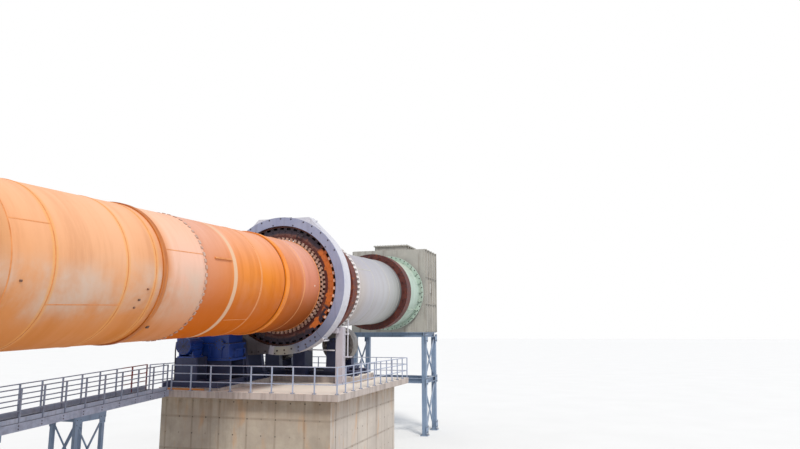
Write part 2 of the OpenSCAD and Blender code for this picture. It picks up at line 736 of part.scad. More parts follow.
module walkway_railing() {
    foot = 15 + fit_gap + rail_d / 2 * walk_rise;
    color([0.5, 0.56, 0.66]) for (y = [walk_y + 14, walk_y + walk_w - 14])
        railing([walk_x0 + 60, y, walk_z(walk_x0 + 60) + foot], [walk_x1 - 60, y, walk_z(walk_x1 - 60) + foot]);
}

// One braced tower of four legs below the walkway.
module trestle(x) {
    h = walk_z(x) - 110 - 20;
    w = 300;
    y0 = walk_y + 30;
    y1 = walk_y + walk_w - 30;
    for (sx = [-w, w], y = [y0, y1]) {
        block(x + sx - 30, x + sx + 30, y - 30, y + 30, 0, h);
        block(x + sx - 60, x + sx + 60, y - 60, y + 60, 0, 20);
    }
    for (y = [y0, y1]) for (k = [0, 1]) let (z0 = 60 + k * (h - 120) / 2, z1 = 60 + (k + 1) * (h - 120) / 2) {
        bar([x - w, y - 12, z0], [x + w, y - 12, z1], 30);
        bar([x + w, y + 12, z0], [x - w, y + 12, z1], 30);
        block(x - w, x + w, y - 20, y + 20, z1 - 20, z1 + 20);
    }
    for (sx = [-w, w]) {
        bar([x + sx, y0, 80], [x + sx, y1, h / 2 - 20], 30);
        bar([x + sx, y1, h / 2 + 20], [x + sx, y0, h - 80], 30);
    }
    intersection() {
        block(x - w - 60, x + w + 60, walk_y, walk_y + walk_w, h - 60, h + 200);
        along_y(walk_y, walk_y + walk_w) polygon([[x - w - 60, h - 60], [x + w + 60, h - 60],
            [x + w + 60, walk_z(x + w + 60) - 110 - fit_gap], [x - w - 60, walk_z(x - w - 60) - 110 - fit_gap]]);
    }
}

module walkway_trestles() {
    color([0.42, 0.48, 0.58]) for (i = [1:trestle_n]) trestle(walk_x0 + i * (walk_x1 - walk_x0) / (trestle_n + 1));
}

// The discharge hood.

// The wall that the kiln passes through.
module hood_kiln_wall() {
    color([0.6, 0.6, 0.58]) difference() {
        block(hood_x1 - hood_t, hood_x1, -hood_y, hood_y, hood_z, hood_top);
        on_axis() translate([hood_x1 - 600, 0, 0]) rotate([0, 90, 0]) cylinder(r = chamber_r + fit_gap, h = 1200, $fn = fn);
    }
}

module hood_walls() {
    color([0.62, 0.62, 0.6]) {
        for (s = [-1, 1]) block(hood_x0 + hood_t, hood_x1 - hood_t, s > 0 ? hood_y - hood_t : -hood_y,
            s > 0 ? hood_y : hood_t - hood_y, hood_z, hood_top);
        block(hood_x0 + hood_t, hood_x1 - hood_t, -hood_y + hood_t, hood_y - hood_t, hood_top - hood_t, hood_top);
        for (s = [-1, 1], i = [0:3]) let (x = hood_x0 + 260 + i * 520)
            block(x, x + 16, s > 0 ? hood_y - 1 : -hood_y - 50, s > 0 ? hood_y + 50 : 1 - hood_y, hood_z, hood_top);
    }
}

// The wall opposite the kiln, with the sleeve of the burner port and two inspection doors.
module hood_burner_wall() {
    zc = axis_z(hood_x0);
    color([0.62, 0.62, 0.6]) difference() {
        union() {
            block(hood_x0, hood_x0 + hood_t, -hood_y, hood_y, hood_z, hood_top);
            on_axis() translate([(hood_x0 - 60) / cos(slope), 0, 0]) rotate([0, 90, 0])
                translate([0, 0, -burner_l / 2 + 60]) cylinder(r = burner_r + 40, h = burner_l, $fn = fn);
            for (s = [-1, 1]) block(hood_x0 - 30, hood_x0 + 1, s * 850 - 300, s * 850 + 300, zc - 600, zc + 350);
        }
        on_axis() translate([hood_x0 - 400, 0, 0]) rotate([0, 90, 0]) cylinder(r = burner_r, h = 800, $fn = fn);
    }
}

module hood_seal() {
    x = (hood_x1 - hood_t / 2) / cos(slope);
    color([0.42, 0.2, 0.15]) on_axis() turned([[x - 140, chamber_ri], [x + 260, chamber_ri], [x + 260, lip_r],
        [x + 300, lip_r], [x + 300, chamber_r + 80],
        [x + 270, chamber_r + 80], [x + 270, chamber_r], [x - 140, chamber_r]]);
}

// Four columns, the ring beam that carries the hood, and braces at the sides.
module hood_frame() {
    t = 160;
    color([0.42, 0.48, 0.58]) {
        for (x = [hood_x0 + 40, hood_x1 - t - 40], s = [-1, 1]) let (y = s > 0 ? hood_y - t : -hood_y) {
            block(x, x + t, y, y + t, 0, hood_z - 150);
            block(x - 50, x + t + 50, y - 50, y + t + 50, 0, 30);
        }
        for (s = [-1, 1]) along_x(hood_x0, hood_x1) translate([s * (hood_y - t / 2), hood_z - 150]) beam_section(150, t, 16, 20);
        for (x = [hood_x0 + 40 + t / 2, hood_x1 - 40 - t / 2]) along_y(-hood_y + t / 2, hood_y - t / 2)
            translate([x, hood_z - 150]) beam_section(150, t, 16, 20);
        for (s = [-1, 1]) let (y = s * (hood_y - t / 2)) {
            bar([hood_x0 + 40 + t / 2, y - 20, 80], [hood_x1 - 40 - t / 2, y - 20, hood_z - 170], 60);
            bar([hood_x1 - 40 - t / 2, y + 20, 80], [hood_x0 + 40 + t / 2, y + 20, hood_z - 170], 60);
        }
    }
}

// The feed end.

// Round chamber that the kiln's end turns in, with its flange against the feed box.
module feed_chamber() {
    x1 = box_x0 / cos(slope) + 120;
    f = box_x0 - 130;
    color([0.7, 0.76, 0.7]) on_axis() turned([[chamber_x0, lip_r], [chamber_x0 + 40, lip_r],
        [chamber_x0 + 40, chamber_ri], [x1, chamber_ri], [x1, chamber_r],
        [f + 50, chamber_r], [f + 50, chamber_r + 130], [f, chamber_r + 130], [f, chamber_r], [chamber_x0 + 40, chamber_r],
        [chamber_x0 + 40, chamber_r + 50], [chamber_x0, chamber_r + 50]]);
}

module feed_front_wall() {
    color([0.6, 0.62, 0.62]) difference() {
        block(box_x0, box_x0 + box_t, -box_y, box_y, box_bottom, box_top);
        on_axis() translate([box_x0 - 300, 0, 0]) rotate([0, 90, 0]) cylinder(r = chamber_r + fit_gap, h = 700, $fn = fn);
    }
}

// Side walls and the roof with the inlet for the raw meal and its flange.
module feed_walls() {
    x0 = box_x0 + box_t;
    x1 = box_x0 + box_l;
    color([0.62, 0.64, 0.64]) {
        for (s = [-1, 1]) block(x0, x1, s > 0 ? box_y - box_t : -box_y, s > 0 ? box_y : box_t - box_y, box_bottom, box_top);
        difference() {
            union() {
                block(x0, x1, -box_y + box_t, box_y - box_t, box_top - box_t, box_top);
                block(x0 + 180, x1 - 220, -560, 560, box_top - 1, box_top + 200);
                block(x0 + 120, x1 - 160, -620, 620, box_top + 160, box_top + 200);
            }
            block(x0 + 220, x1 - 260, -520, 520, box_top - box_t - 1, box_top + 201);
        }
    }
}

// Back wall that leans into the box as the feed slide.
module feed_back_wall() {
    x0 = box_x0 + box_t;
    x1 = box_x0 + box_l - fit_gap;
    z = axis_z(box_x0) - chamber_ri + 60;
    color([0.6, 0.62, 0.62]) along_y(-box_y + box_t, box_y - box_t) polygon([[x0, box_bottom], [x1, box_bottom],
        [x1, box_top - box_t], [x1 - box_t, box_top - box_t], [x1 - box_t, box_bottom + 1300], [x0 + 130, z - 150],
        [x0, z - 150]]);
}

module feed_frame() {
    t = 150;
    zb = box_bottom;
    color([0.42, 0.48, 0.58]) {
        for (x = [box_x0, box_x0 + box_l - t], s = [-1, 1]) let (y = s > 0 ? box_y - t : -box_y) {
            block(x, x + t, y, y + t, 0, zb - 160);
            block(x - 50, x + t + 50, y - 50, y + t + 50, 0, 30);
        }
        for (s = [-1, 1], z = [zb - 160, zb / 2]) along_x(box_x0, box_x0 + box_l) translate([s * (box_y - t / 2), z])
            beam_section(160, t, 16, 20);
        for (x = [box_x0 + t / 2, box_x0 + box_l - t / 2], z = [zb - 160, zb / 2]) along_y(-box_y + t / 2, box_y - t / 2)
            translate([x, z]) beam_section(160, t, 16, 20);
        for (s = [-1, 1], k = [0, 1]) let (y = s * (box_y - t / 2), z0 = k * zb / 2 + (k == 0 ? 60 : 160), z1 = (k + 1) * zb / 2 - (k == 0 ? 0 : 160)) {
            bar([box_x0 + t / 2, y - 20, z0], [box_x0 + box_l - t / 2, y - 20, z1], 56);
            bar([box_x0 + box_l - t / 2, y + 20, z0], [box_x0 + t / 2, y + 20, z1], 56);
        }
    }
}

shell_discharge();
shell_middle();
shell_upper();
shell_gear_seat();
shell_feed();
stiffening_rings();
nose_ring();
refractory_lining();
feed_seal_ring();
tyre_1();
tyre_2();
tyre_saddles();
girth_gear();
gear_web();
gear_springs();
roller_1_left();
roller_1_right();
roller_2_left();
roller_2_right();
thrust_roller();
pinion();
pinion_shaft();
pier_1();
pier_2();
pier_decks();
roller_bases();
roller_bearings();
thrust_bearing();
guard_face();
guard_rim();
pinion_guard();
guard_supports();
drive_bed();
pinion_bearings();
gearbox();
motor();
pier_railings();
walkway();
walkway_railing();
walkway_trestles();
hood_kiln_wall();
hood_walls();
hood_burner_wall();
hood_seal();
hood_frame();
feed_chamber();
feed_front_wall();
feed_walls();
feed_back_wall();
feed_frame();
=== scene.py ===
"""Rotary kiln, 1:2 scale model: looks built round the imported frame.

Metres, in the frame of the CAD part: +X uphill, +Y the side of the drive, +Z up, ground at z = 0.
"""
import json
import math
import random

import bmesh
import bpy
from mathutils import Matrix, Vector


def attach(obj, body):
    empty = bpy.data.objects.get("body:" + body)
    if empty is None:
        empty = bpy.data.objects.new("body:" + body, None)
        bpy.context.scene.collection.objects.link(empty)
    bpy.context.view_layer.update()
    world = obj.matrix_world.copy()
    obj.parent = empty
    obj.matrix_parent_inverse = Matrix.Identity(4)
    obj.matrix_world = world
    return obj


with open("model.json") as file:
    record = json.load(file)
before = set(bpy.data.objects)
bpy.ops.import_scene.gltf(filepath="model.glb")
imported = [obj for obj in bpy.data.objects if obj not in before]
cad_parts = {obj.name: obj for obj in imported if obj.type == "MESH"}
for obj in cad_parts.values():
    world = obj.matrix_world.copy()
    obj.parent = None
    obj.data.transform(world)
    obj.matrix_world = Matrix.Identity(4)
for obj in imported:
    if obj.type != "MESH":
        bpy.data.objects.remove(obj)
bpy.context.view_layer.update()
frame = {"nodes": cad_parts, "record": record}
nodes = frame["nodes"]
random.seed(7)

# Sizes shared with the CAD part, in metres. Places on the kiln, its gear, guard and bearings are
# measured along and from the kiln's sloped axis, places on piers, walkway, hood and feed box from the
# ground.
SLOPE = math.atan(0.035)
AXIS_H = 4.4
SHELL_R = 1.0
SEAT_R = 1.01
TAB_X = -5.185
SEAMS = (-14.6, -10.9, -9.9, -8.65, -8.085, -6.915, -6.36, -3.435, -1.62)
FEED_SEAMS = (2.9, 4.2, 5.2)
TYRES = (-12.25, 0.85)
ROLLER_C = 1.5903
ROLLER_Y = ROLLER_C * math.sin(math.radians(30))
ROLLER_Z = -ROLLER_C * math.cos(math.radians(30))
BEARING_X = 0.33
BASE_TOP = -1.96
PLINTH_TOP = -2.08
GEAR_X, GEAR_W = -0.575, 0.25
GEAR_X0, GEAR_X1 = GEAR_X - GEAR_W / 2, GEAR_X + GEAR_W / 2
PINION_Y = 1.53 * math.cos(math.radians(55))
PINION_Z = -1.53 * math.sin(math.radians(55))
PINION_BEARINGS = (-0.93, -0.225)
GEARBOX_X0, GEARBOX_X1, GEARBOX_Y0, GEARBOX_Y1 = -1.77, -1.12, 0.63, 1.71
MOTOR_X, MOTOR_Y = -2.06, 1.375
GUARD_X0, GUARD_X1, GUARD_STEP, GUARD_R, GUARD_OPEN = -0.77, -0.36, -0.63, 1.525, 1.335
COLUMNS, COLUMN_W = ((-0.2, -1.29), (0.078, 1.418)), 0.165
DECK_H, DECK_L, DECK_W, SLAB_H = 2.2, 4.8, 4.15, 0.126
PIER_1_X = TYRES[0] * math.cos(SLOPE)
DECK_1_H = DECK_H + TYRES[0] * math.sin(SLOPE)
DECK_1_L = 3.0
POST_GAP, POST_EDGE = 0.425, 0.03
WALK_X0, WALK_X1 = PIER_1_X + DECK_1_L / 2, -DECK_L / 2
WALK_Y, WALK_W = 1.545, 0.52
HOOD_X0, HOOD_X1, HOOD_Y, HOOD_Z = -18.0, -15.84, 1.5, 2.0
HOOD_X, HOOD_L = (HOOD_X0 + HOOD_X1) / 2, 2.0
HOOD_TOP = AXIS_H + HOOD_X1 * math.tan(SLOPE) + HOOD_Y
BOX_X0, BOX_L, BOX_Y = 7.3, 1.5, 1.3
BOX_X1 = BOX_X0 + BOX_L
BOX_MID = AXIS_H + (BOX_X0 + BOX_L / 2) * math.tan(SLOPE)
BOX_BOTTOM, BOX_TOP = BOX_MID - 1.35, BOX_MID + 1.45


# places
def move(x, y, z):
    """A place measured from the ground, or a step from another place."""
    return Matrix.Translation((x, y, z))


KILN = move(0, 0, AXIS_H) @ Matrix.Rotation(-SLOPE, 4, "Y")


def at(x, y, z):
    """A place measured from the kiln's axis."""
    return KILN @ move(x, y, z)


def around(x, r, a):
    """Place on a circle round the kiln axis: local Z points outwards, a is in degrees from the top
    towards -Y."""
    return KILN @ Matrix.Rotation(math.radians(a), 4, "X") @ move(x, 0, r)


def even_turn(n, start=0.0):
    """n angles spread evenly over a full turn, in degrees."""
    return [start + i * 360 / n for i in range(n)]


def row(a, b, n):
    """n places from a to b, both included."""
    return [a + i * (b - a) / (n - 1) for i in range(n)]


def corners(a, b):
    """The four corners of a rectangle of half sizes a and b."""
    return ((-a, -b), (-a, b), (a, -b), (a, b))


# turns that bring local Z to an axis
TO_X = Matrix.Rotation(math.radians(90), 4, "Y")
MINUS_X = Matrix.Rotation(math.radians(-90), 4, "Y")
TO_Y = Matrix.Rotation(math.radians(-90), 4, "X")
MINUS_Y = Matrix.Rotation(math.radians(90), 4, "X")
HALF_TURN = Matrix.Rotation(math.pi, 4, "X")
BOTH_ENDS = ((-1, MINUS_X), (1, TO_X))
BOTH_SIDES = ((-1, MINUS_Y), (1, TO_Y))


# mesh pieces
class Piece:
    """Gathers solids in one mesh, then becomes an object that rides on a body."""

    def __init__(self, name):
        self.name = name
        self.bm = bmesh.new()

    def box(self, m, size):
        """A block centred on the place m."""
        bmesh.ops.create_cube(self.bm, size=1, matrix=m @ Matrix.Diagonal((*size, 1)))

    def cone(self, m, r1, r2, h, n=12):
        """A round solid standing on the place m, along its local Z."""
        bmesh.ops.create_cone(self.bm, cap_ends=True, segments=n, radius1=r1, radius2=r2, depth=h,
                              matrix=m @ move(0, 0, h / 2))

    def rod(self, m, r, h, n=12):
        """A straight round bar standing on the place m."""
        self.cone(m, r, r, h, n)

    def bolt(self, m, r, washer=True):
        """Washer, hexagon turned by chance and the end of the thread, for a bolt of radius r."""
        if washer:
            self.rod(m, r * 1.7, r * 0.3)
        self.rod(m @ Matrix.Rotation(random.uniform(0, 6.28), 4, "Z"), r * 1.15, r, 6)
        self.cone(m, r * 0.6, r * 0.55, r * 1.5, 8)

    def anchor(self, m, r, stud=0.007):
        """A bolt on a long stud."""
        self.bolt(m, r)
        self.rod(m, stud, 0.05, 8)

    def lathe(self, m, profile, n=96):
        """Spins a closed profile of (along X, radius) points round the X axis of m."""
        verts = [self.bm.verts.new(m @ Vector((x, 0, r))) for x, r in profile]
        edges = [self.bm.edges.new(pair) for pair in zip(verts, verts[1:] + verts[:1])]
        bmesh.ops.spin(self.bm, geom=verts + edges, cent=m @ Vector((profile[0][0], 0, 0)),
                       axis=m.col[0].to_3d(), angle=2 * math.pi, steps=n, use_merge=True)

    def ring(self, m, x0, x1, r0, r1, n=96):
        """A flat ring between two places along X and two radii."""
        self.lathe(m, [(x0, r0), (x1, r0), (x1, r1), (x0, r1)], n)

    def plate(self, m, outline, h):
        """A flat outline in the local XY plane of m, extruded by h along its local Z."""
        face = self.bm.faces.new([self.bm.verts.new(m @ Vector((x, y, 0))) for x, y in outline])
        made = bmesh.ops.extrude_face_region(self.bm, geom=[face], use_keep_orig=True)["geom"]
        bmesh.ops.translate(self.bm, verts=[v for v in made if isinstance(v, bmesh.types.BMVert)],
                            vec=m.col[2].to_3d() * h)

    def tube(self, points, r, n=10):
        """A round bar along a chain of points: a disc extruded from place to place, then capped."""
        up = Vector((0.13, 0.21, 0.97))
        places = []
        for i, p in enumerate(points):
            d = (points[min(i + 1, len(points) - 1)] - points[max(i - 1, 0)]).normalized()
            u = d.cross(up).normalized()
            turn = Matrix((u, d.cross(u), d)).transposed().to_4x4()
            places.append(Matrix.Translation(p) @ turn @ Matrix.Rotation(-math.pi / 2, 4, "Z"))
        disc = bmesh.ops.create_circle(self.bm, cap_ends=True, segments=n, radius=r, matrix=places[0])
        edges = list({e for v in disc["verts"] for e in v.link_edges})
        for here, there in zip(places, places[1:]):
            made = bmesh.ops.extrude_edge_only(self.bm, edges=edges)["geom"]
            verts = {v for v in made if isinstance(v, bmesh.types.BMVert)}
            edges = [e for e in made if isinstance(e, bmesh.types.BMEdge) and verts.issuperset(e.verts)]
            bmesh.ops.transform(self.bm, matrix=there @ here.inverted(), verts=list(verts))
        bmesh.ops.edgeloop_fill(self.bm, edges=edges)

    def done(self, finish, body="station", slot=None, bevel=0.0):
        """Makes the object: its finish is a key of MAT. The argument slot is not used."""
        bmesh.ops.recalc_face_normals(self.bm, faces=self.bm.faces)
        me = bpy.data.meshes.new(self.name)
        self.bm.to_mesh(me)
        self.bm.free()
        ob = bpy.data.objects.new(self.name, me)
        bpy.context.scene.collection.objects.link(ob)
        me.materials.append(MAT[finish])
        me.shade_smooth()
        me.set_sharp_from_angle(angle=math.radians(35))
        if bevel:
            b = ob.modifiers.new("edges", "BEVEL")
            b.width = bevel
            b.segments = 2
            b.limit_method = "ANGLE"
            b.angle_limit = math.radians(40)
        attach(ob, body)


# materials
def rgb(r, g, b):
    """Screen colour, 0 to 255, as linear."""
    linear = [v / 12.92 if v <= 0.04045 else ((v + 0.055) / 1.055) ** 2.4
              for v in (r / 255, g / 255, b / 255)]
    return (*linear, 1.0)


class Tree:
    """Short hand for building a node tree."""

    def __init__(self, tree):
        self.tree = tree

    def node(self, kind, **settings):
        n = self.tree.nodes.new(kind)
        for k, v in settings.items():
            setattr(n, k, v)
        return n

    def put(self, socket, value):
        """Links a socket or sets it. Three numbers on a colour socket are a screen colour."""
        if isinstance(value, bpy.types.NodeSocket):
            self.tree.links.new(value, socket)
        elif socket.type == "RGBA" and len(value) == 3:
            socket.default_value = rgb(*value)
        else:
            socket.default_value = value

    def math(self, op, *values, clamp=False):
        n = self.node("ShaderNodeMath", operation=op, use_clamp=clamp)
        for socket, v in zip(n.inputs, values):
            self.put(socket, v)
        return n.outputs[0]

    def times(self, first, *others):
        for v in others:
            first = self.math("MULTIPLY", first, v)
        return first

    def plus(self, a, b, clamp=False):
        return self.math("ADD", a, b, clamp=clamp)

    def minus(self, a, b):
        return self.math("SUBTRACT", a, b)

    def larger(self, a, b):
        return self.math("MAXIMUM", a, b)

    def absolute(self, v):
        return self.math("ABSOLUTE", v)

    def length(self, a, b):
        """Length of a vector with the parts a and b."""
        return self.math("SQRT", self.plus(self.times(a, a), self.times(b, b)))

    def part(self, v, step):
        """How far v is through its step, 0 to 1."""
        return self.math("FRACT", self.math("DIVIDE", v, step))

    def noise(self, vec, scale, detail=4.0, rough=0.55, warp=0.0):
        n = self.node("ShaderNodeTexNoise")
        for k, v in (("Vector", vec), ("Scale", scale), ("Detail", detail), ("Roughness", rough),
                     ("Distortion", warp)):
            self.put(n.inputs[k], v)
        return n.outputs["Fac"]

    def span(self, v, lo, hi, out_lo=0.0, out_hi=1.0):
        """out_lo where v is at lo or past it, out_hi at hi, soft between."""
        n = self.node("ShaderNodeMapRange", interpolation_type="SMOOTHSTEP")
        for socket, x in zip(n.inputs, (v, lo, hi, out_lo, out_hi)):
            self.put(socket, x)
        return n.outputs[0]

    def band(self, v, lo, hi, soft=0.01):
        """1 between lo and hi, with soft edges."""
        return self.times(self.span(v, lo - soft, lo + soft), self.span(v, hi + soft, hi - soft))

    def mix(self, fac, a, b, kind="MIX"):
        n = self.node("ShaderNodeMix", data_type="RGBA", blend_type=kind)
        for i, v in ((0, fac), (6, a), (7, b)):
            self.put(n.inputs[i], v)
        return n.outputs[2]

    def scaled(self, vec, scale, turn=(0, 0, 0)):
        n = self.node("ShaderNodeMapping")
        for k, v in (("Vector", vec), ("Rotation", turn), ("Scale", scale)):
            self.put(n.inputs[k], v)
        return n.outputs[0]

    def xyz(self, vec):
        n = self.node("ShaderNodeSeparateXYZ")
        self.put(n.inputs[0], vec)
        return n.outputs

    def ramp(self, v, stops):
        n = self.node("ShaderNodeValToRGB")
        r = n.color_ramp
        while len(r.elements) < len(stops):
            r.elements.new(0.5)
        for e, (place, color) in zip(r.elements, stops):
            e.position = place
            e.color = rgb(*color)
        self.put(n.inputs[0], v)
        return n.outputs[0]

    def coords(self):
        return self.node("ShaderNodeTexCoord").outputs

    def kiln_place(self):
        return self.node("ShaderNodeGroup", node_tree=PLACE).outputs

    def weathered(self, **look):
        """The paint group: dust_color=... sets its input Dust Color, and so on."""
        n = self.node("ShaderNodeGroup", node_tree=WEATHER)
        for k, v in look.items():
            self.put(n.inputs[k.replace("_", " ").title()], v)
        return n.outputs


class Finish(Tree):
    """A new material, with its node tree and the inputs of its shader."""

    def __init__(self, name):
        self.material = bpy.data.materials.new(name)
        self.material.use_nodes = True
        super().__init__(self.material.node_tree)
        self.shader = self.tree.nodes["Principled BSDF"].inputs

    def done(self, color, rough, height, depth=0.004, strength=0.6):
        """Joins the colour, the roughness and a bump of this depth, and returns the material."""
        self.put(self.shader["Base Color"], color)
        self.put(self.shader["Roughness"], rough)
        n = self.node("ShaderNodeBump")
        for k, v in (("Strength", strength), ("Distance", depth), ("Height", height)):
            self.put(n.inputs[k], v)
        self.put(self.shader["Normal"], n.outputs[0])
        return self.material


def group(name, sockets_in, sockets_out, build):
    """A node group with these sockets, whose nodes are set by build."""
    g = bpy.data.node_groups.new(name, "ShaderNodeTree")
    for label, kind, value in sockets_in:
        g.interface.new_socket(label, in_out="INPUT", socket_type=kind).default_value = value
    for label, kind in sockets_out:
        g.interface.new_socket(label, in_out="OUTPUT", socket_type=kind)
    t = Tree(g)
    build(t, t.node("NodeGroupInput").outputs, t.node("NodeGroupOutput").inputs)
    return g


FLOAT, COLOR, VECTOR = "NodeSocketFloat", "NodeSocketColor", "NodeSocketVector"


def build_weather(t, i, o):
    """Paint with fading, runs, dust on top faces, rust where it has broken, and a fine grain."""
    coords = t.coords()
    pos, nor = coords["Object"], coords["Normal"]
    patch = t.noise(pos, t.times(i["Scale"], 1.3), 5.0, 0.6, 0.3)
    fine = t.noise(pos, t.times(i["Scale"], 34.0), 4.0, 0.65)
    runs = t.noise(t.scaled(pos, (9, 9, 0.7)), i["Scale"], 4.0, 0.6)
    c = t.mix(t.span(patch, 0.32, 0.7), i["Paint"], i["Faded"])
    c = t.mix(t.times(t.span(runs, 0.5, 0.72), i["Runs"]), c, i["Dirt"])
    dust = t.times(t.span(t.xyz(nor)[2], 0.25, 0.95), i["Dust"], t.span(patch, 0.2, 0.75, 0.55, 1.0))
    c = t.mix(dust, c, i["Dust Color"])
    spots = t.noise(pos, t.times(i["Scale"], 5.5), 6.0, 0.7, 0.6)
    edge = t.minus(0.86, t.times(i["Rust"], 0.4))
    rust = t.span(spots, edge, t.plus(edge, 0.07))
    c = t.mix(rust, c, t.mix(fine, (92, 44, 22), (168, 88, 40)))
    c = t.mix(t.times(fine, 0.16), c, t.mix(1.0, c, (0.55, 0.55, 0.55, 1), "MULTIPLY"))
    t.put(o["Color"], c)
    rough = t.plus(i["Rough"], t.times(t.minus(patch, 0.5), 0.25))
    t.put(o["Rough"], t.plus(rough, t.times(t.larger(rust, dust), 0.3), clamp=True))
    h = t.plus(t.times(fine, 0.35), t.times(rust, -0.4))
    t.put(o["Height"], t.plus(h, t.times(patch, 0.3)))


WEATHER = group("Weathered paint", [
    ("Paint", COLOR, rgb(150, 155, 170)), ("Faded", COLOR, rgb(170, 175, 185)),
    ("Dirt", COLOR, rgb(90, 84, 78)), ("Dust Color", COLOR, rgb(200, 186, 168)), ("Dust", FLOAT, 0.4),
    ("Runs", FLOAT, 0.3), ("Rust", FLOAT, 0.3), ("Rough", FLOAT, 0.5), ("Scale", FLOAT, 1.0)],
    [("Color", COLOR), ("Rough", FLOAT), ("Height", FLOAT)], build_weather)


def build_kiln_place(t, i, o):
    """Place along the kiln axis, its two coordinates across it, and the place drawn out round the
    shell for streaks."""
    step = t.node("ShaderNodeVectorMath", operation="SUBTRACT")
    t.put(step.inputs[0], t.coords()["Object"])
    t.put(step.inputs[1], (0, 0, AXIS_H))
    turned = t.scaled(step.outputs[0], (1, 1, 1), (0, SLOPE, 0))
    for label, v in zip(("Along", "Side", "Up"), t.xyz(turned)):
        t.put(o[label], v)
    t.put(o["Streak"], t.scaled(turned, (1, 0.12, 0.12)))
    t.put(o["Place"], turned)


PLACE = group("Kiln place", [], [("Along", FLOAT), ("Side", FLOAT), ("Up", FLOAT), ("Streak", VECTOR),
                                 ("Place", VECTOR)], build_kiln_place)


def painted(name, metal=0.0, depth=0.004, **look):
    """Plain paint or bare surface, with the weathering that look sets."""
    t = Finish(name)
    w = t.weathered(**look)
    t.put(t.shader["Metallic"], metal)
    return t.done(w["Color"], w["Rough"], w["Height"], depth)


def shell_paint(name, stops, dust, top_dust_and_light, seams=(), mark=(240, 186, 138), reach=0.022, grey=0.0,
                glow=0.0, deep=-0.85, gold=(194, 96, 4), stripe=None, shade=0.0, ring_shadows=(), streaks=1.0):
    """Shell plate: colour by place along the axis, streaks round the shell, a golden glow low on the
    side, a grey belt above it, dust and painted light on the upper side, marks beside the weld seams,
    a painted stripe, painted shade low on the side towards the gear and painted shadows beside the
    raised rings."""
    t = Finish(name)
    g = t.kiln_place()
    along, up, streak, place = (g[k] for k in ("Along", "Up", "Streak", "Place"))
    x0, x1 = stops[0][0], stops[-1][0]
    wavy = t.plus(along, t.times(t.minus(t.noise(place, 1.7, 3.0), 0.5), 0.05))
    c = t.ramp(t.math("DIVIDE", t.minus(wavy, x0), x1 - x0, clamp=True),
               [((x - x0) / (x1 - x0), color) for x, color in stops])
    lines = t.noise(streak, 5.0, 7.0, 0.62)
    wide = t.noise(streak, 1.1, 3.0, 0.5)
    patch = t.noise(place, 0.9, 5.0, 0.62, 0.4)
    fine = t.noise(place, 38.0, 4.0, 0.7)
    dim = t.mix(1.0, c, (0.72, 0.6, 0.5, 1), "MULTIPLY")
    c = t.mix(t.span(lines, 0.42, 0.72, 0.0, 0.5 * streaks), c, dim)
    warm = t.mix(1.0, c, (1.12, 1.05, 0.92, 1), "MULTIPLY")
    c = t.mix(t.span(wide, 0.35, 0.75, 0.0, 0.45 * streaks), c, warm)
    if glow:
        low = t.times(t.span(up, 0.2, deep), t.span(patch, 0.25, 0.6, 0.84, 1.0), glow)
        c = t.mix(low, c, gold)
    if grey:
        belt = t.times(t.band(up, -0.62, 0.02, 0.22), t.span(patch, 0.34, 0.68), grey)
        c = t.mix(belt, c, (204, 180, 162))
    # Upper side: dust, and painted light where the top is lit.
    c = t.mix(t.times(t.span(up, -0.05, 0.95), t.span(lines, 0.2, 0.7, 1.0, 0.65), dust), c, top_dust_and_light)
    if seams:
        heat = 0.0
        for x in seams:
            heat = t.larger(heat, t.band(along, x - reach, x + reach, 0.016))
        c = t.mix(t.times(heat, t.span(fine, 0.25, 0.6, 0.45, 1.0), 0.62), c, mark)
    if stripe:
        c = t.mix(t.times(t.band(wavy, *stripe, 0.006), t.span(fine, 0.25, 0.45, 0.5, 0.95)), c,
                  (214, 178, 146))
    # Painted shade: darker low on the side towards the gear and its guard.
    if shade:
        c = t.mix(t.times(t.span(up, 0.0, -0.9), t.span(along, -3.0, -1.2), shade), c, (88, 50, 36))
    # Painted shadows beside the raised rings.
    for lo, hi in ring_shadows:
        c = t.mix(t.times(t.band(along, lo, hi, 0.006), 0.85), c, (92, 38, 20))
    spots = t.span(t.noise(place, 5.0, 6.0, 0.72, 0.5), 0.72, 0.8)
    c = t.mix(t.times(spots, 0.6), c, (134, 70, 34))
    t.put(t.shader["Specular IOR Level"], 0.08)
    rough = t.plus(0.62, t.times(t.minus(lines, 0.5), 0.35), clamp=True)
    h = t.plus(t.times(patch, 1.4), t.times(fine, 0.16))
    return t.done(c, rough, t.plus(h, t.times(lines, 0.3)), 0.012, 0.5)


def turned_angle(t, g):
    """Degrees from the top of the kiln towards -Y."""
    return t.times(t.math("ARCTAN2", t.times(g["Side"], -1.0), g["Up"]), 180 / math.pi)


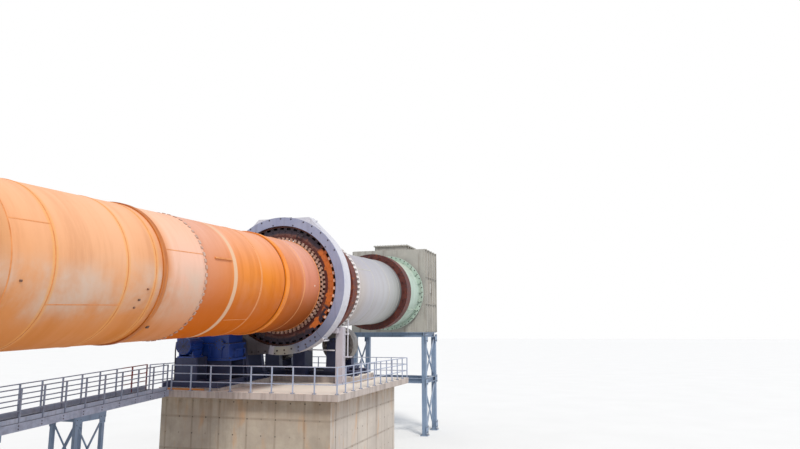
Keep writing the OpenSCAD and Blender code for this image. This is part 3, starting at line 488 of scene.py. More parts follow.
def gear_web_paint(name):
    """Gear web: orange paint, kept only in the sector that the guard leaves lit and in patches beyond it;
    elsewhere painted shade from the guard with dust, near-black towards its outer part from grease and
    painted shade, and pale bare steps between the pockets."""
    t = Finish(name)
    g = t.kiln_place()
    w = t.weathered(paint=(196, 104, 40), faded=(180, 94, 42), dirt=(96, 48, 30), dust=0.1, rust=0.35,
                    scale=3.0, dust_color=(206, 140, 100))
    place, angle, r = g["Place"], turned_angle(t, g), t.length(g["Side"], g["Up"])
    pocket_gap = 7.5
    # Orange kept from about 55 to 120 degrees, where the guard leaves the web lit, and in patches to 158:
    # painted light and shade by angle.
    ragged = t.plus(angle, t.times(t.noise(place, 2.2, 3.0), 12.0))
    lit_sector = t.times(t.span(ragged, 55, 60), t.span(ragged, 120, 117))
    some = t.times(t.span(ragged, 121, 123), t.span(ragged, 158, 150),
                   t.span(t.noise(place, 5.5, 2.0), 0.48, 0.52))
    patch = t.noise(place, 7.0, 5.0, 0.65)
    # Outside that sector: painted shade from the guard with dust, near-black towards the outer part from
    # grease and painted shade.
    dark = t.mix(t.span(patch, 0.35, 0.7), (84, 54, 50), (122, 78, 66))
    dark = t.mix(t.times(t.span(r, 1.14, 1.19), 0.9), dark, (34, 30, 46))
    rest = t.times(t.span(patch, 0.62, 0.7), 0.3)
    c = t.mix(t.larger(t.larger(lit_sector, some), rest), dark, w["Color"])
    step = t.span(t.absolute(t.minus(t.part(angle, pocket_gap), 0.5)), 0.2, 0.16)
    step = t.times(step, t.span(r, 1.25, 1.256), t.span(angle, 58, 62), t.span(angle, 128, 124))
    c = t.mix(t.times(step, t.span(patch, 0.3, 0.5, 0.5, 1.0)), c, (222, 190, 172))
    return t.done(c, w["Rough"], w["Height"])


def ring_paint(name):
    """Raised rings on the shell: the lower one brown and worn, the upper one freshly painted."""
    t = Finish(name)
    g = t.kiln_place()
    w = t.weathered(paint=(236, 136, 14), faded=(222, 120, 14), dirt=(160, 80, 16), dust=0.35, runs=0.15,
                    rust=0.35, rough=0.45, scale=2.0, dust_color=(240, 170, 96))
    worn = t.mix(t.span(t.noise(g["Streak"], 6.0, 5.0, 0.65), 0.35, 0.65), (196, 118, 48), (150, 78, 26))
    lower = t.times(t.math("LESS_THAN", g["Along"], -4.3), 0.85)
    return t.done(t.mix(lower, w["Color"], worn), w["Rough"], w["Height"])


def guard_face_paint(name):
    """Front ring of the guard: grey with a violet cast, turning to cream near its capped lower end."""
    t = Finish(name)
    g = t.kiln_place()
    w = t.weathered(paint=(137, 144, 173), faded=(149, 155, 179), dirt=(104, 102, 116), dust=0.2, rust=0.12,
                    scale=1.3, dust_color=(166, 170, 184))
    a = turned_angle(t, g)
    c = t.mix(t.times(t.span(a, 108, 140), 0.85), w["Color"], (96, 102, 124))
    c = t.mix(t.larger(t.span(a, 160, 176), t.span(a, -168, -178)), c, (176, 174, 160))
    c = t.mix(t.span(t.noise(g["Place"], 9.0, 5.0, 0.7), 0.62, 0.74, 0.0, 0.35), c, (96, 84, 84))
    return t.done(c, w["Rough"], w["Height"])


def guard_rim_paint(name):
    """Drum and casing of the guard: pale outside, dark inside with grease and painted shade."""
    t = Finish(name)
    g = t.kiln_place()
    w = t.weathered(paint=(206, 204, 210), faded=(190, 190, 200), dirt=(120, 112, 112), dust=0.35,
                    rust=0.15, scale=1.2, dust_color=(206, 200, 200))
    nx, ny, nz = t.xyz(t.coords()["Normal"])
    outwards = t.plus(t.times(ny, g["Side"]), t.times(nz, g["Up"]))
    back = t.times(t.math("LESS_THAN", nx, -0.5), t.math("GREATER_THAN", g["Along"], -0.5))
    inside = t.larger(t.math("LESS_THAN", outwards, -0.3), back)
    # Inner and back faces: grease and painted shade inside the guard.
    shade_and_grease = t.mix(t.noise(g["Place"], 4.0, 5.0, 0.65), (30, 30, 46), (62, 56, 66))
    rough = t.larger(w["Rough"], t.times(inside, 0.75))
    return t.done(t.mix(inside, w["Color"], shade_and_grease), rough, w["Height"])


def walk_rail_paint(name):
    """Railing of the walkway: grey, with a newer red-brown piece on its far side next to the deck."""
    t = Finish(name)
    x, y, z = t.xyz(t.coords()["Object"])
    red = t.times(t.band(x, -3.2, -2.4), t.math("GREATER_THAN", y, 1.8))
    w = t.weathered(paint=t.mix(red, (122, 130, 150), (120, 40, 36)), faded=(146, 154, 174),
                    dirt=(96, 90, 92), dust=0.15, rust=0.35, rough=0.42, scale=3.0)
    return t.done(t.mix(t.times(red, 0.8), w["Color"], (122, 46, 42)), w["Rough"], w["Height"])


def concrete(name):
    """Concrete with panel joints, tie holes, stains below the slab, drips on the slab's edge, dust and
    painted light on the flat tops, and painted light on the walls that face +Y and -Y."""
    t = Finish(name)
    coords = t.coords()
    pos = coords["Object"]
    x, y, z = t.xyz(pos)
    nx, ny, nz = t.xyz(coords["Normal"])
    side = t.math("GREATER_THAN", t.absolute(nx), 0.5)
    wall = t.span(t.absolute(nz), 0.6, 0.4)
    u = t.plus(t.times(side, y), t.times(t.minus(1.0, side), x))

    def from_middle(v, step, off):
        """How far v is from the middle of its panel."""
        return t.times(t.minus(t.part(t.plus(v, off), step), 0.5), step)

    def joint(v, step, off, w):
        return t.span(t.absolute(from_middle(v, step, off)), step / 2 - w, step / 2 - w * 0.3)

    joints = t.times(t.larger(joint(u, 0.61, 0.1, 0.03), joint(z, 0.62, 0.17, 0.032)), wall)
    from_hole = t.length(from_middle(u, 0.305, 0.26), from_middle(z, 0.31, 0.33))
    hole = t.times(t.span(from_hole, 0.017, 0.011), wall)
    big = t.noise(pos, 0.8, 5.0, 0.6, 0.4)
    mid = t.noise(pos, 4.0, 6.0, 0.65, 0.3)
    fine = t.noise(pos, 60.0, 4.0, 0.7)
    runs = t.noise(t.scaled(pos, (7, 7, 0.35)), 1.0, 5.0, 0.62)
    # height as if both decks were as high as the upper one
    level = t.plus(z, t.span(x, -9.0, -8.0, DECK_H - DECK_1_H, 0.0))
    slab = t.times(t.math("GREATER_THAN", level, DECK_H - SLAB_H), wall)
    below = t.minus(1.0, slab)
    c = t.mix(t.span(big, 0.3, 0.7), (184, 174, 158), (162, 151, 137))
    c = t.mix(t.span(mid, 0.35, 0.75, 0.0, 0.5), c, (142, 132, 119))
    # Walls facing +Y or -Y lighter than those facing +X or -X: painted light on the lit faces.
    c = t.mix(t.times(t.minus(wall, side), 0.3), c, (216, 206, 202))
    c = t.mix(t.times(t.span(runs, 0.5, 0.75), wall, 0.4), c, (112, 98, 84))
    ochre = t.times(t.span(t.noise(t.scaled(pos, (3, 3, 0.8)), 1.3, 4.0), 0.55, 0.75), 0.5)
    c = t.mix(ochre, c, (190, 138, 84))
    # Flat tops pale: dust, and painted light on the lit deck tops.
    c = t.mix(t.times(t.minus(1.0, wall), 0.8), c, (232, 222, 210))
    wet = t.times(t.span(level, DECK_H - 0.75, DECK_H - 0.14), t.span(runs, 0.3, 0.62, 0.35, 1.0),
                  wall, 0.5)
    c = t.mix(wet, c, (122, 94, 66))
    drips = t.span(t.noise(t.scaled(pos, (9, 9, 0.6)), 1.0, 5.0, 0.7), 0.4, 0.7, 0.0, 0.6)
    c = t.mix(slab, c, t.mix(drips, (180, 168, 161), (122, 111, 104)))
    c = t.mix(t.times(joints, t.span(mid, 0.4, 0.65, 0.38, 0.16), below), c, (104, 88, 72))
    c = t.mix(t.times(hole, t.span(t.noise(pos, 2.3, 1.0), 0.4, 0.6, 0.25, 0.9), below), c, (70, 60, 52))
    h = t.plus(t.times(mid, 0.4), t.times(fine, 0.3))
    return t.done(c, 0.9, t.minus(h, t.times(hole, 0.8)), 0.01, 0.7)


def grating(name):
    """Open bar grating, drawn as bars with painted shade between them on the walkway's floor plate, and
    painted sides.
    """
    t = Finish(name)
    coords = t.coords()
    x, y, z = t.xyz(coords["Object"])
    up = t.math("GREATER_THAN", t.absolute(t.xyz(coords["Normal"])[2]), 0.5)

    def bars(v, step, w):
        return t.span(t.absolute(t.minus(t.part(v, step), 0.5)), w + 0.05, w)

    grid = t.larger(bars(x, 0.05, 0.12), bars(y, 0.02, 0.14))
    solid = t.larger(grid, t.minus(1.0, up))
    n = t.noise(coords["Object"], 9.0, 5.0, 0.65)
    worn = t.span(n, 0.3, 0.75)
    c = t.mix(up, t.mix(worn, (160, 168, 190), (134, 140, 158)), t.mix(worn, (104, 104, 118), (84, 82, 92)))
    # Between the bars: painted shade (40, 40, 48).
    return t.done(t.mix(solid, (40, 40, 48), c), t.span(n, 0.2, 0.8, 0.42, 0.72), solid, 0.006, 0.8)


def bare_steel(name, base, dark, rough, turned):
    """Bare machined steel with oil and a little rust, and with turning marks where it was turned."""
    t = Finish(name)
    pos, place = t.coords()["Object"], t.kiln_place()["Place"]
    fine = t.noise(t.scaled(place, (60, 2, 2)), 3.0, 3.0) if turned else t.noise(pos, 40.0, 3.0)
    patch = t.noise(pos, 3.5, 6.0, 0.65, 0.5)
    c = t.mix(t.span(patch, 0.35, 0.7), base, dark)
    c = t.mix(t.span(patch, 0.66, 0.78, 0.0, 0.7), c, (118, 66, 38))
    t.put(t.shader["Metallic"], 0.85)
    return t.done(c, t.plus(rough, t.times(patch, 0.3), clamp=True), t.plus(fine, patch), 0.003, 0.4)


def bricks(name):
    """Brick lining: rings of tapered bricks, darker and glazed in patches."""
    t = Finish(name)
    g = t.kiln_place()
    lining_r = 0.9
    flat = t.node("ShaderNodeCombineXYZ")
    t.put(flat.inputs[0], g["Along"])
    t.put(flat.inputs[1], t.times(t.math("ARCTAN2", g["Side"], g["Up"]), lining_r))
    wall = t.node("ShaderNodeTexBrick")
    for k, v in (("Vector", flat.outputs[0]), ("Color1", (150, 116, 92)), ("Color2", (122, 92, 74)),
                 ("Mortar", (70, 58, 50)), ("Scale", 1.0), ("Mortar Size", 0.004), ("Brick Width", 0.1),
                 ("Row Height", 0.052)):
        t.put(wall.inputs[k], v)
    n = t.noise(g["Place"], 6.0, 6.0, 0.7)
    c = t.mix(t.span(n, 0.3, 0.8, 0.0, 0.6), wall.outputs["Color"], (84, 66, 56))
    return t.done(c, 0.88, t.minus(t.times(n, 0.5), wall.outputs["Fac"]), 0.006, 0.7)


# colours of each section of the shell, by place along the axis
SHELL_PAINTS = {
    "shell_discharge": dict(
        stops=[(-16.2, (136, 84, 58)), (-15.0, (178, 119, 78)), (-12.9, (190, 132, 90)),
               (-8.6, (202, 146, 103))],
        dust=0.55, top_dust_and_light=(226, 170, 128), seams=(-14.6, -10.9, -9.9), mark=(216, 152, 80), reach=0.045,
        grey=0.75, glow=0.9, gold=(196, 110, 12)),
    "shell_middle": dict(
        stops=[(-8.7, (216, 156, 112)), (-6.9, (222, 166, 126)), (-6.35, (206, 146, 104)),
               (-6.12, (206, 138, 92)), (-5.95, (222, 179, 158)), (-5.1, (222, 179, 160))],
        dust=0.6, top_dust_and_light=(238, 182, 146), seams=(-8.085, -6.915, -6.36), mark=(222, 160, 90), reach=0.04,
        grey=0.95, glow=0.72, gold=(198, 112, 14), ring_shadows=((-6.14, -6.11),)),
    "shell_upper": dict(
        stops=[(-5.2, (202, 132, 96)), (-4.55, (206, 128, 78)), (-4.1, (218, 130, 48)),
               (-3.3, (220, 130, 38)), (-2.6, (216, 124, 42)), (-2.3, (206, 118, 54)),
               (-1.8, (204, 120, 66)), (-1.55, (206, 134, 108)), (-0.9, (206, 134, 110))],
        dust=0.62, top_dust_and_light=(222, 182, 166), seams=(-3.435, -1.62), grey=0.15, glow=1.0, deep=-0.66,
        stripe=(-4.37, -4.26), shade=0.6, ring_shadows=((-2.535, -2.505),)),
    "shell_seat": dict(
        stops=[(-1.0, (120, 66, 50)), (-0.84, (64, 34, 28)), (0.3, (70, 34, 28)), (1.1, (74, 44, 36)),
               (1.22, (160, 150, 146)), (1.4, (170, 162, 160))],
        dust=0.3, top_dust_and_light=(150, 104, 84), glow=0.2),
    # shell_pale: darker from 4.9 to 5.4, painted shade beside the seal ring.
    "shell_pale": dict(
        stops=[(1.3, (160, 154, 152)), (1.9, (184, 176, 172)), (2.6, (180, 178, 184)),
               (4.2, (178, 178, 180)), (4.9, (158, 160, 158)), (5.4, (104, 106, 106)),
               (6.3, (120, 114, 108))],
        dust=0.6, top_dust_and_light=(146, 144, 154), seams=(2.9, 4.2), mark=(176, 168, 160), streaks=0.45),
}

PAINTS = {
    "cast_dark": dict(paint=(92, 66, 54), faded=(120, 84, 64), rust=0.8, rough=0.7, scale=3.0, depth=0.006),
    "tyre_steel": dict(paint=(100, 36, 24), faded=(84, 38, 30), dirt=(44, 24, 20), dust=0.12, rust=0.8,
                       rough=0.62, scale=2.5, dust_color=(124, 72, 54)),
    "saddle": dict(paint=(206, 190, 178), faded=(180, 158, 142), dirt=(84, 56, 44), dust=0.2, runs=0.5,
                   rust=0.75, rough=0.6, scale=5.0),
    "gear_steel": dict(paint=(96, 50, 34), faded=(62, 40, 34), dirt=(34, 26, 24), dust=0.1, rust=0.6,
                       rough=0.4, scale=3.0, metal=0.4),
    "base_navy": dict(paint=(40, 46, 80), faded=(56, 62, 92), dirt=(30, 30, 44), dust=0.45, scale=1.5,
                      dust_color=(112, 108, 112)),
    "guard_grey": dict(paint=(140, 144, 170), faded=(152, 154, 176), dirt=(110, 106, 118), dust=0.2,
                       runs=0.25, rust=0.12, scale=1.3, dust_color=(168, 168, 178)),
    "column_grey": dict(paint=(178, 172, 180), faded=(190, 184, 190), dirt=(120, 108, 108), dust=0.3,
                        runs=0.4, rust=0.25, scale=1.6, dust_color=(204, 196, 194)),
    "cover_dark": dict(paint=(112, 108, 112), faded=(92, 88, 92), dirt=(58, 52, 52), dust=0.5, runs=0.5,
                       rust=0.4, rough=0.6, scale=1.6, dust_color=(150, 138, 124)),
    "guard_light": dict(paint=(206, 204, 210), faded=(190, 190, 200), dirt=(120, 112, 112), dust=0.35,
                        rust=0.15, scale=1.2, dust_color=(206, 200, 200)),
    "drive_blue": dict(paint=(20, 52, 128), faded=(28, 66, 150), dirt=(24, 28, 48), rust=0.15, rough=0.32,
                       scale=1.6, dust_color=(120, 130, 150)),
    "rail_grey": dict(paint=(150, 160, 182), faded=(168, 176, 196), dirt=(104, 96, 96), dust=0.25,
                      rust=0.35, rough=0.42, scale=3.0),
    "frame_blue": dict(paint=(112, 132, 158), faded=(128, 146, 170), dirt=(78, 80, 88), runs=0.35,
                       rough=0.45, scale=1.2),
    "hood_grey": dict(paint=(156, 154, 148), faded=(172, 168, 160), dirt=(98, 82, 70), dust=0.5, runs=0.55,
                      rust=0.4, rough=0.58, scale=0.8, depth=0.008),
    # seal_red: dark red, made darker still as painted shade, for the seal ring lying in shade.
    "seal_red": dict(paint=(78, 34, 30), faded=(100, 46, 36), dirt=(46, 28, 26), dust=0.25, rust=0.7,
                     rough=0.6, scale=2.5, dust_color=(128, 100, 90)),
    "chamber_green": dict(paint=(166, 186, 172), faded=(180, 196, 184), dirt=(104, 98, 86), runs=0.4,
                          scale=1.2),
    "bolt_dark": dict(paint=(64, 60, 66), faded=(86, 78, 78), rust=0.5, rough=0.45, scale=6.0, metal=0.6),
    "weld_bead": dict(paint=(222, 146, 84), faded=(204, 124, 62), dirt=(140, 78, 38), dust=0.3, rust=0.4,
                      rough=0.55, scale=5.0, dust_color=(244, 190, 140)),
    "weld_pale": dict(paint=(196, 196, 186), faded=(176, 172, 160), rust=0.4, rough=0.55, scale=5.0),
    "tab_white": dict(paint=(238, 222, 208), faded=(222, 190, 164), dirt=(150, 96, 66), dust=0.2, runs=0.4,
                      rust=0.6, rough=0.55, scale=6.0),
    "chair_pale": dict(paint=(198, 170, 154), faded=(172, 130, 110), dirt=(92, 54, 44), dust=0.2, runs=0.5,
                       rust=0.75, rough=0.6, scale=6.0),
    "wedge_pale": dict(paint=(228, 224, 224), faded=(206, 198, 194), dirt=(120, 92, 84), dust=0.2, rust=0.4,
                       rough=0.55, scale=6.0),
    "strip_orange": dict(paint=(224, 142, 66), faded=(206, 158, 108), dirt=(150, 120, 96), dust=0.5,
                         runs=0.2, rust=0.5, rough=0.7, scale=3.0, dust_color=(222, 196, 160)),
}

MAT = {name: shell_paint(name, **look) for name, look in SHELL_PAINTS.items()}
MAT.update((name, painted(name, **look)) for name, look in PAINTS.items())
MAT.update((name, make(name)) for name, make in (
    ("ring_orange", ring_paint), ("gear_orange", gear_web_paint), ("guard_face", guard_face_paint),
    ("guard_rim", guard_rim_paint), ("walk_rail", walk_rail_paint), ("concrete", concrete),
    ("grating", grating), ("lining", bricks)))
MAT["roller_steel"] = bare_steel("roller_steel", (150, 146, 142), (98, 92, 88), 0.3, True)
MAT["machine_steel"] = bare_steel("machine_steel", (156, 152, 148), (110, 102, 96), 0.35, False)

# nodes that have a finish of their own in place of their slot's
OWN_FINISH = {
    "shell_discharge": "shell_discharge", "shell_middle": "shell_middle", "shell_upper": "shell_upper",
    "guard_face": "guard_face", "guard_rim": "guard_rim", "pinion_guard": "cover_dark",
    "guard_supports": "column_grey", "walkway_railing": "walk_rail", "gear_springs": "chair_pale",
    "drive_bed": "base_navy"}


def dress_nodes():
    """Gives each CAD node the finish of its slot, or its own."""
    for sub in frame["record"]["subparts"]:
        name = sub["node"]
        me = nodes[name].data
        me.materials.clear()
        me.materials.append(MAT[OWN_FINISH.get(name, sub["material_slot"])])


# kiln shell
def bead(p, x, r=SHELL_R, w=0.018, h=0.006):
    """A weld bead round the kiln."""
    p.lathe(KILN, [(x - w / 2, r - 0.002), (x - w / 3, r + h * 0.7), (x, r + h), (x + w / 3, r + h * 0.7),
                   (x + w / 2, r - 0.002)], 128)


def shell_seams():
    """Weld beads round the shell, and along its plates, staggered from section to section."""
    p = Piece("shell_weld_seams")
    for x in SEAMS:
        bead(p, x)
    for x0, x1, a in ((-16.0, -14.6, 150), (-14.6, -13.0, 40), (-11.8, -10.9, 200), (-10.9, -9.9, 95),
                      (-9.9, -8.65, 310), (-8.65, -8.085, 65), (-8.085, -6.915, 118), (-6.1, -5.2, 72),
                      (-4.2, -3.435, 135), (-3.435, -2.52, 20), (-2.34, -1.62, 240), (-1.62, -0.95, 310)):
        p.box(around((x0 + x1) / 2, SHELL_R, a), (x1 - x0, 0.012, 0.005))
    bead(p, -0.872, SHELL_R + 0.003, 0.024, 0.008)
    p.done("weld_bead", "kiln")
    q = Piece("feed_weld_seams")
    for x in FEED_SEAMS:
        bead(q, x)
    for x0, x1, a in ((1.35, 2.9, 60), (2.9, 4.2, 170), (4.2, 5.2, 285)):
        q.box(around((x0 + x1) / 2, SHELL_R + 0.001, a), (x1 - x0, 0.018, 0.006))
    q.done("weld_pale", "kiln")


def seam_tabs():
    """Row of small plates stitched over the joint between the peach and the orange sections."""
    p = Piece("seam_tabs")
    for a in even_turn(60):
        w = random.uniform(0.035, 0.07)
        x = TAB_X + random.uniform(-0.008, 0.008)
        p.box(around(x, SHELL_R + 0.006, a + random.uniform(-0.6, 0.6)), (0.05, w, 0.014))
    p.done("chair_pale", "kiln", bevel=0.002)


def shell_marks():
    """The bar welded beside the painted stripe, lugs left from the erection and a small patch."""
    p = Piece("shell_bar")
    p.box(around(-4.66, SHELL_R + 0.012, 74), (0.5, 0.03, 0.03))
    p.done("weld_bead", "kiln", bevel=0.004)
    q = Piece("shell_lugs")
    for x, a, size in ((-6.05, 140, 0.05), (-6.59, 113.6, 0.035), (-6.485, 105, 0.03), (-8.5, 103, 0.03),
                       (-6.62, 120, 0.03), (-10.4, 250, 0.05), (-13.9, 80, 0.05), (-7.6, 200, 0.04)):
        q.box(around(x, SHELL_R + 0.006, a), (size, size * 0.8, 0.018))
    q.done("cast_dark", "kiln", bevel=0.003)
    w = Piece("shell_patch")
    w.cone(around(-1.12, SHELL_R - 0.002, 92.5), 0.022, 0.016, 0.008, 16)
    w.done("tab_white", "kiln")


# girth gear
def gear_bolts():
    """Two rows of bolts on both faces of the gear's web, and the pins of the spring plates."""
    p = Piece("gear_bolts")
    for a in even_turn(48, 3.75):
        for r in (1.15, 1.215):
            p.bolt(around(GEAR_X0, r, a) @ MINUS_X, 0.011)
            p.bolt(around(GEAR_X1, r, a) @ TO_X, 0.011)
    p.done("gear_orange", "kiln")
    q = Piece("spring_pins")
    for a in even_turn(12):
        for dx in (-0.06, 0.0, 0.06):
            q.bolt(around(GEAR_X + dx, 1.0, a) @ move(0, 0.35, 0) @ HALF_TURN, 0.014)
    q.done("bolt_dark", "kiln")


def gear_rings():
    """Dark ring between the gear's web and the chairs, standing in for the shade there, and the comb of
    wedges behind the upper tyre with the ring that holds their ends and a dark ring at their foot that
    stands in for the shade between the wedges."""
    # A dark sheet in the opening behind the web's bore: painted shade.
    p = Piece("gear_inner_shade_ring")
    p.ring(KILN, GEAR_X0 + 0.003, GEAR_X0 + 0.02, 1.03, 1.126)
    p.done("seal_red", "kiln")
    q = Piece("tyre_wedges")
    q.ring(KILN, 1.185, 1.205, 1.08, 1.188)
    for a in even_turn(60):
        q.box(around(1.11, 1.13, a), (0.152, 0.056, 0.105))
    q.done("wedge_pale", "kiln", bevel=0.003)
    w = Piece("tyre_wedge_shadow_ring")
    w.ring(KILN, 1.004, 1.19, 1.07, 1.11)
    w.done("cast_dark", "kiln")


def gear_joints():
    """The gear is split in two halves, bolted across plates on its front and back."""
    p = Piece("gear_joint_plates")
    q = Piece("gear_joint_bolts")
    thick = 0.024
    for a in (22, 202):
        for x, turn in ((GEAR_X0 - thick / 2, MINUS_X), (GEAR_X1 + thick / 2, TO_X)):
            p.box(around(x, 1.18, a), (thick, 0.16, 0.1))
            for da in (-2.6, 2.6):
                for r in (1.15, 1.2):
                    q.bolt(around(x, r, a + da) @ turn @ move(0, 0, 0.01), 0.014)
    p.done("gear_orange", "kiln", bevel=0.004)
    q.done("bolt_dark", "kiln")


# tyres
def saddle_welds():
    """Weld beads along both sides of each saddle."""
    p = Piece("saddle_welds")
    for x in TYRES:
        for a in even_turn(60):
            for dx in (-0.225, 0.225):
                for y in (-0.033, 0.033):
                    p.box(around(x + dx, SEAT_R + 0.004, a) @ move(0, y, 0), (0.14, 0.008, 0.01))
    p.done("cast_dark", "kiln")


# support rollers, bearings and bases
def bearing_trim():
    """Foot, cap and cover bolts of the rollers' pillow blocks, cap joints, grease nipples and the boxes
    of the cooling water."""
    p = Piece("bearing_bolts")
    q = Piece("bearing_fittings")
    cover_r, first_bolt = 0.098, 0.4
    for x in TYRES:
        for s in (-1, 1):
            y = s * ROLLER_Y
            for e, turn in BOTH_ENDS:
                xb = x + e * BEARING_X
                for dy, dx in corners(0.21, 0.07):
                    p.bolt(at(xb + dx, y + dy, BASE_TOP + 0.045), 0.015)
                for i in range(8):
                    a = i * math.pi / 4 + first_bolt
                    dy, dz = cover_r * math.cos(a), cover_r * math.sin(a)
                    p.bolt(at(xb + e * 0.11, y + dy, ROLLER_Z + dz) @ turn, 0.009)
                for dy in (-1, 1):
                    q.box(at(xb, y + dy * 0.185, ROLLER_Z - 0.005), (0.16, 0.05, 0.05))
                    for dx in (-0.05, 0.05):
                        p.bolt(at(xb + dx, y + dy * 0.19, ROLLER_Z + 0.02), 0.011)
                q.cone(at(xb, y, ROLLER_Z + 0.165), 0.016, 0.012, 0.04)
                q.box(at(xb - e * 0.02, y + s * 0.19, ROLLER_Z - 0.25), (0.03, 0.06, 0.2))
    p.done("bolt_dark")
    q.done("machine_steel", slot="base_navy", bevel=0.004)


def base_trim():
    """Anchor bolts through the roller bases, jacking screws beside the bearings, and drip trays."""
    p = Piece("base_anchor_bolts")
    q = Piece("base_plates")
    tray_l, tray_w, tray_z = 0.4, 0.5, -1.91
    for x in TYRES:
        for xb in (x - BEARING_X, x + BEARING_X):
            for y in (-1.28, -0.42, 0.42, 1.28):
                for dx in (-0.08, 0.08):
                    p.anchor(at(xb + dx, y, BASE_TOP - 0.1), 0.016, 0.008)
            for s, turn in ((-1, TO_Y), (1, MINUS_Y)):
                q.box(at(xb, s * 1.12, BASE_TOP + 0.05), (0.1, 0.02, 0.1))
                q.rod(at(xb, s * 1.12, BASE_TOP + 0.06) @ turn, 0.016, 0.13, 10)
        for y in (-ROLLER_Y, ROLLER_Y):
            q.box(at(x, y, tray_z - 0.02), (tray_l, tray_w, 0.01))
            for t in (-1, 1):
                q.box(at(x + t * tray_l / 2, y, tray_z), (0.008, tray_w, 0.05))
                q.box(at(x, y + t * tray_w / 2, tray_z), (tray_l, 0.008, 0.05))
    p.done("bolt_dark")
    q.done("base_navy", bevel=0.003)


# gear guard
def guard_bolts():
    """A few bolts near both edges of the front ring's upper part, more of them along its lower part, and
    the row on the flange behind the drum."""
    p = Piece("guard_bolts")
    for i in range(30):
        a = -112 + i * 10.2 + random.uniform(-1.5, 1.5)
        if a < 62 or a > 135:
            p.bolt(around(GUARD_X0, GUARD_R - 0.028, a) @ MINUS_X, 0.01)
        if i % 2 == 0 and a < 50:
            p.bolt(around(GUARD_X0, GUARD_OPEN + 0.027, a + 3) @ MINUS_X, 0.01)
    for a in (143, 148.5, 154, 161, 168, 175, 182):
        p.bolt(around(GUARD_X0, 1.44 + 0.02 * math.sin(a), a) @ MINUS_X, 0.012)
    for a in row(-117, 187, 60):
        p.bolt(around(GUARD_X1, GUARD_OPEN + 0.04, a) @ TO_X, 0.01)
    p.done("bolt_dark")


def guard_edges():
    """Rolled angle round the front opening and the weld between the front ring and the drum."""
    p = Piece("guard_opening_edge")
    q = Piece("guard_drum_seam")
    n, start, turn = 76, -118, 306
    step = math.radians(turn / n)
    for i in range(n):
        a = start + (i + 0.5) * turn / n
        p.box(around(GUARD_X0 + 0.02, GUARD_OPEN + 0.003, a), (0.05, GUARD_OPEN * step, 0.006))
        q.box(around(GUARD_X0 + 0.014, GUARD_R + 0.001, a), (0.008, GUARD_R * step, 0.006))
    p.done("guard_grey")
    q.done("guard_grey")


def guard_gussets():
    """Stiffeners inside the guard, between the front ring and the drum."""
    p = Piece("guard_gussets")
    thick = 0.008
    for a in row(-112, 188, 26):
        p.plate(around(GUARD_X0 + 0.012, GUARD_OPEN + 0.01, a) @ MINUS_Y @ move(0, 0, -thick / 2),
                [(0, 0), (0.02, 0), (0.04, 0.05), (0.12, 0.07), (0.12, 0.16), (0, 0.16)], thick)
    p.done("guard_light")


def guard_joints():
    """Bolted flanges where the guard's segments meet, the capped end beside the pinion's cover, and
    lifting eyes."""
    p = Piece("guard_clamps")
    q = Piece("guard_clamp_bolts")
    face_mid = (GUARD_R + GUARD_OPEN) / 2
    for a in (139, -62):
        for d, turn in ((-1, TO_Y), (1, MINUS_Y)):
            p.box(around(GUARD_X0 + 0.15, GUARD_R + 0.05, a + d * 0.3), (0.26, 0.011, 0.1))
            for dx in (0.05, 0.12, 0.19, 0.26):
                q.bolt(around(GUARD_X0 + dx, GUARD_R + 0.065, a + d * 0.5) @ turn, 0.011)
        q.box(around(GUARD_X0 - 0.001, face_mid, a), (0.003, 0.005, 0.186))
    p.box(around(GUARD_X0 + 0.1, face_mid, 189.2), (0.22, 0.01, 0.2))
    p.box(around(GUARD_X0 + 0.012, face_mid, 187.2), (0.05, 0.1, 0.19))
    for r, a in ((1.61, 28), (1.63, -24)):
        p.box(around(GUARD_STEP + 0.12, r, a), (0.08, 0.012, 0.07))
    p.done("guard_light", bevel=0.003)
    q.done("bolt_dark")


def guard_hatches():
    """Two inspection hatches on the drum, with hinges, latches and a handle."""
    p = Piece("guard_hatches")
    q = Piece("guard_hatch_handles")
    for a in (-45, 0):
        m = around(-0.495, GUARD_R + 0.005, a)
        p.box(m, (0.18, 0.34, 0.012))
        for e in (-1, 1):
            q.box(m @ move(0.06 * e, -0.14, 0.012), (0.03, 0.05, 0.012))
            q.rod(m @ move(0.075 * e, 0.15, 0.005), 0.008, 0.02, 8)
        q.tube([m @ Vector((x, 0.11, z)) for x, z in (
            (-0.05, 0.004), (-0.05, 0.03), (0.05, 0.03), (0.05, 0.004))], 0.005)
    p.done("guard_light", bevel=0.003)
    q.done("bolt_dark")


def guard_pipes():
    """Light pipes beside the column: a tie bar below the drum, the grease line and its brackets."""
    p = Piece("guard_pipes")
    x, y = COLUMNS[0]
    line_x, line_y = x + 0.12, y - 0.075
    p.tube([Vector(v) for v in ((x + 0.01, -0.46, 2.955), (x + 0.01, y + 0.19, 2.94))], 0.014)
    p.tube([Vector((line_x, *v)) for v in ((line_y, 3.61), (line_y, 2.8), (y - 0.03, 2.79))], 0.013)
    p.box(move(x + 0.08, y - 0.03, 2.8), (0.02, 0.34, 0.024))
    p.box(move(line_x, y - 0.035, 3.3), (0.02, 0.09, 0.03))
    for z in (2.8, 3.3):
        p.rod(move(line_x, line_y, z - 0.02), 0.024, 0.04)
    p.done("guard_light", bevel=0.002)


def pinion_cover_trim():
    """Bolts along the edge of both cheeks of the pinion's cover."""
    p = Piece("pinion_cover_bolts")
    for y, z in ((0.35, -1.49), (0.52, -1.505), (0.69, -1.51), (0.86, -1.5), (1.03, -1.47), (1.11, -1.38),
                 (1.17, -1.27), (1.2, -1.15), (1.24, -1.0), (1.27, -0.87)):
        p.bolt(at(GUARD_X0, y * 0.97, z * 0.97) @ MINUS_X, 0.011)
        p.bolt(at(GUARD_X1, y * 0.97, z * 0.97) @ TO_X, 0.011)
    p.done("bolt_dark")


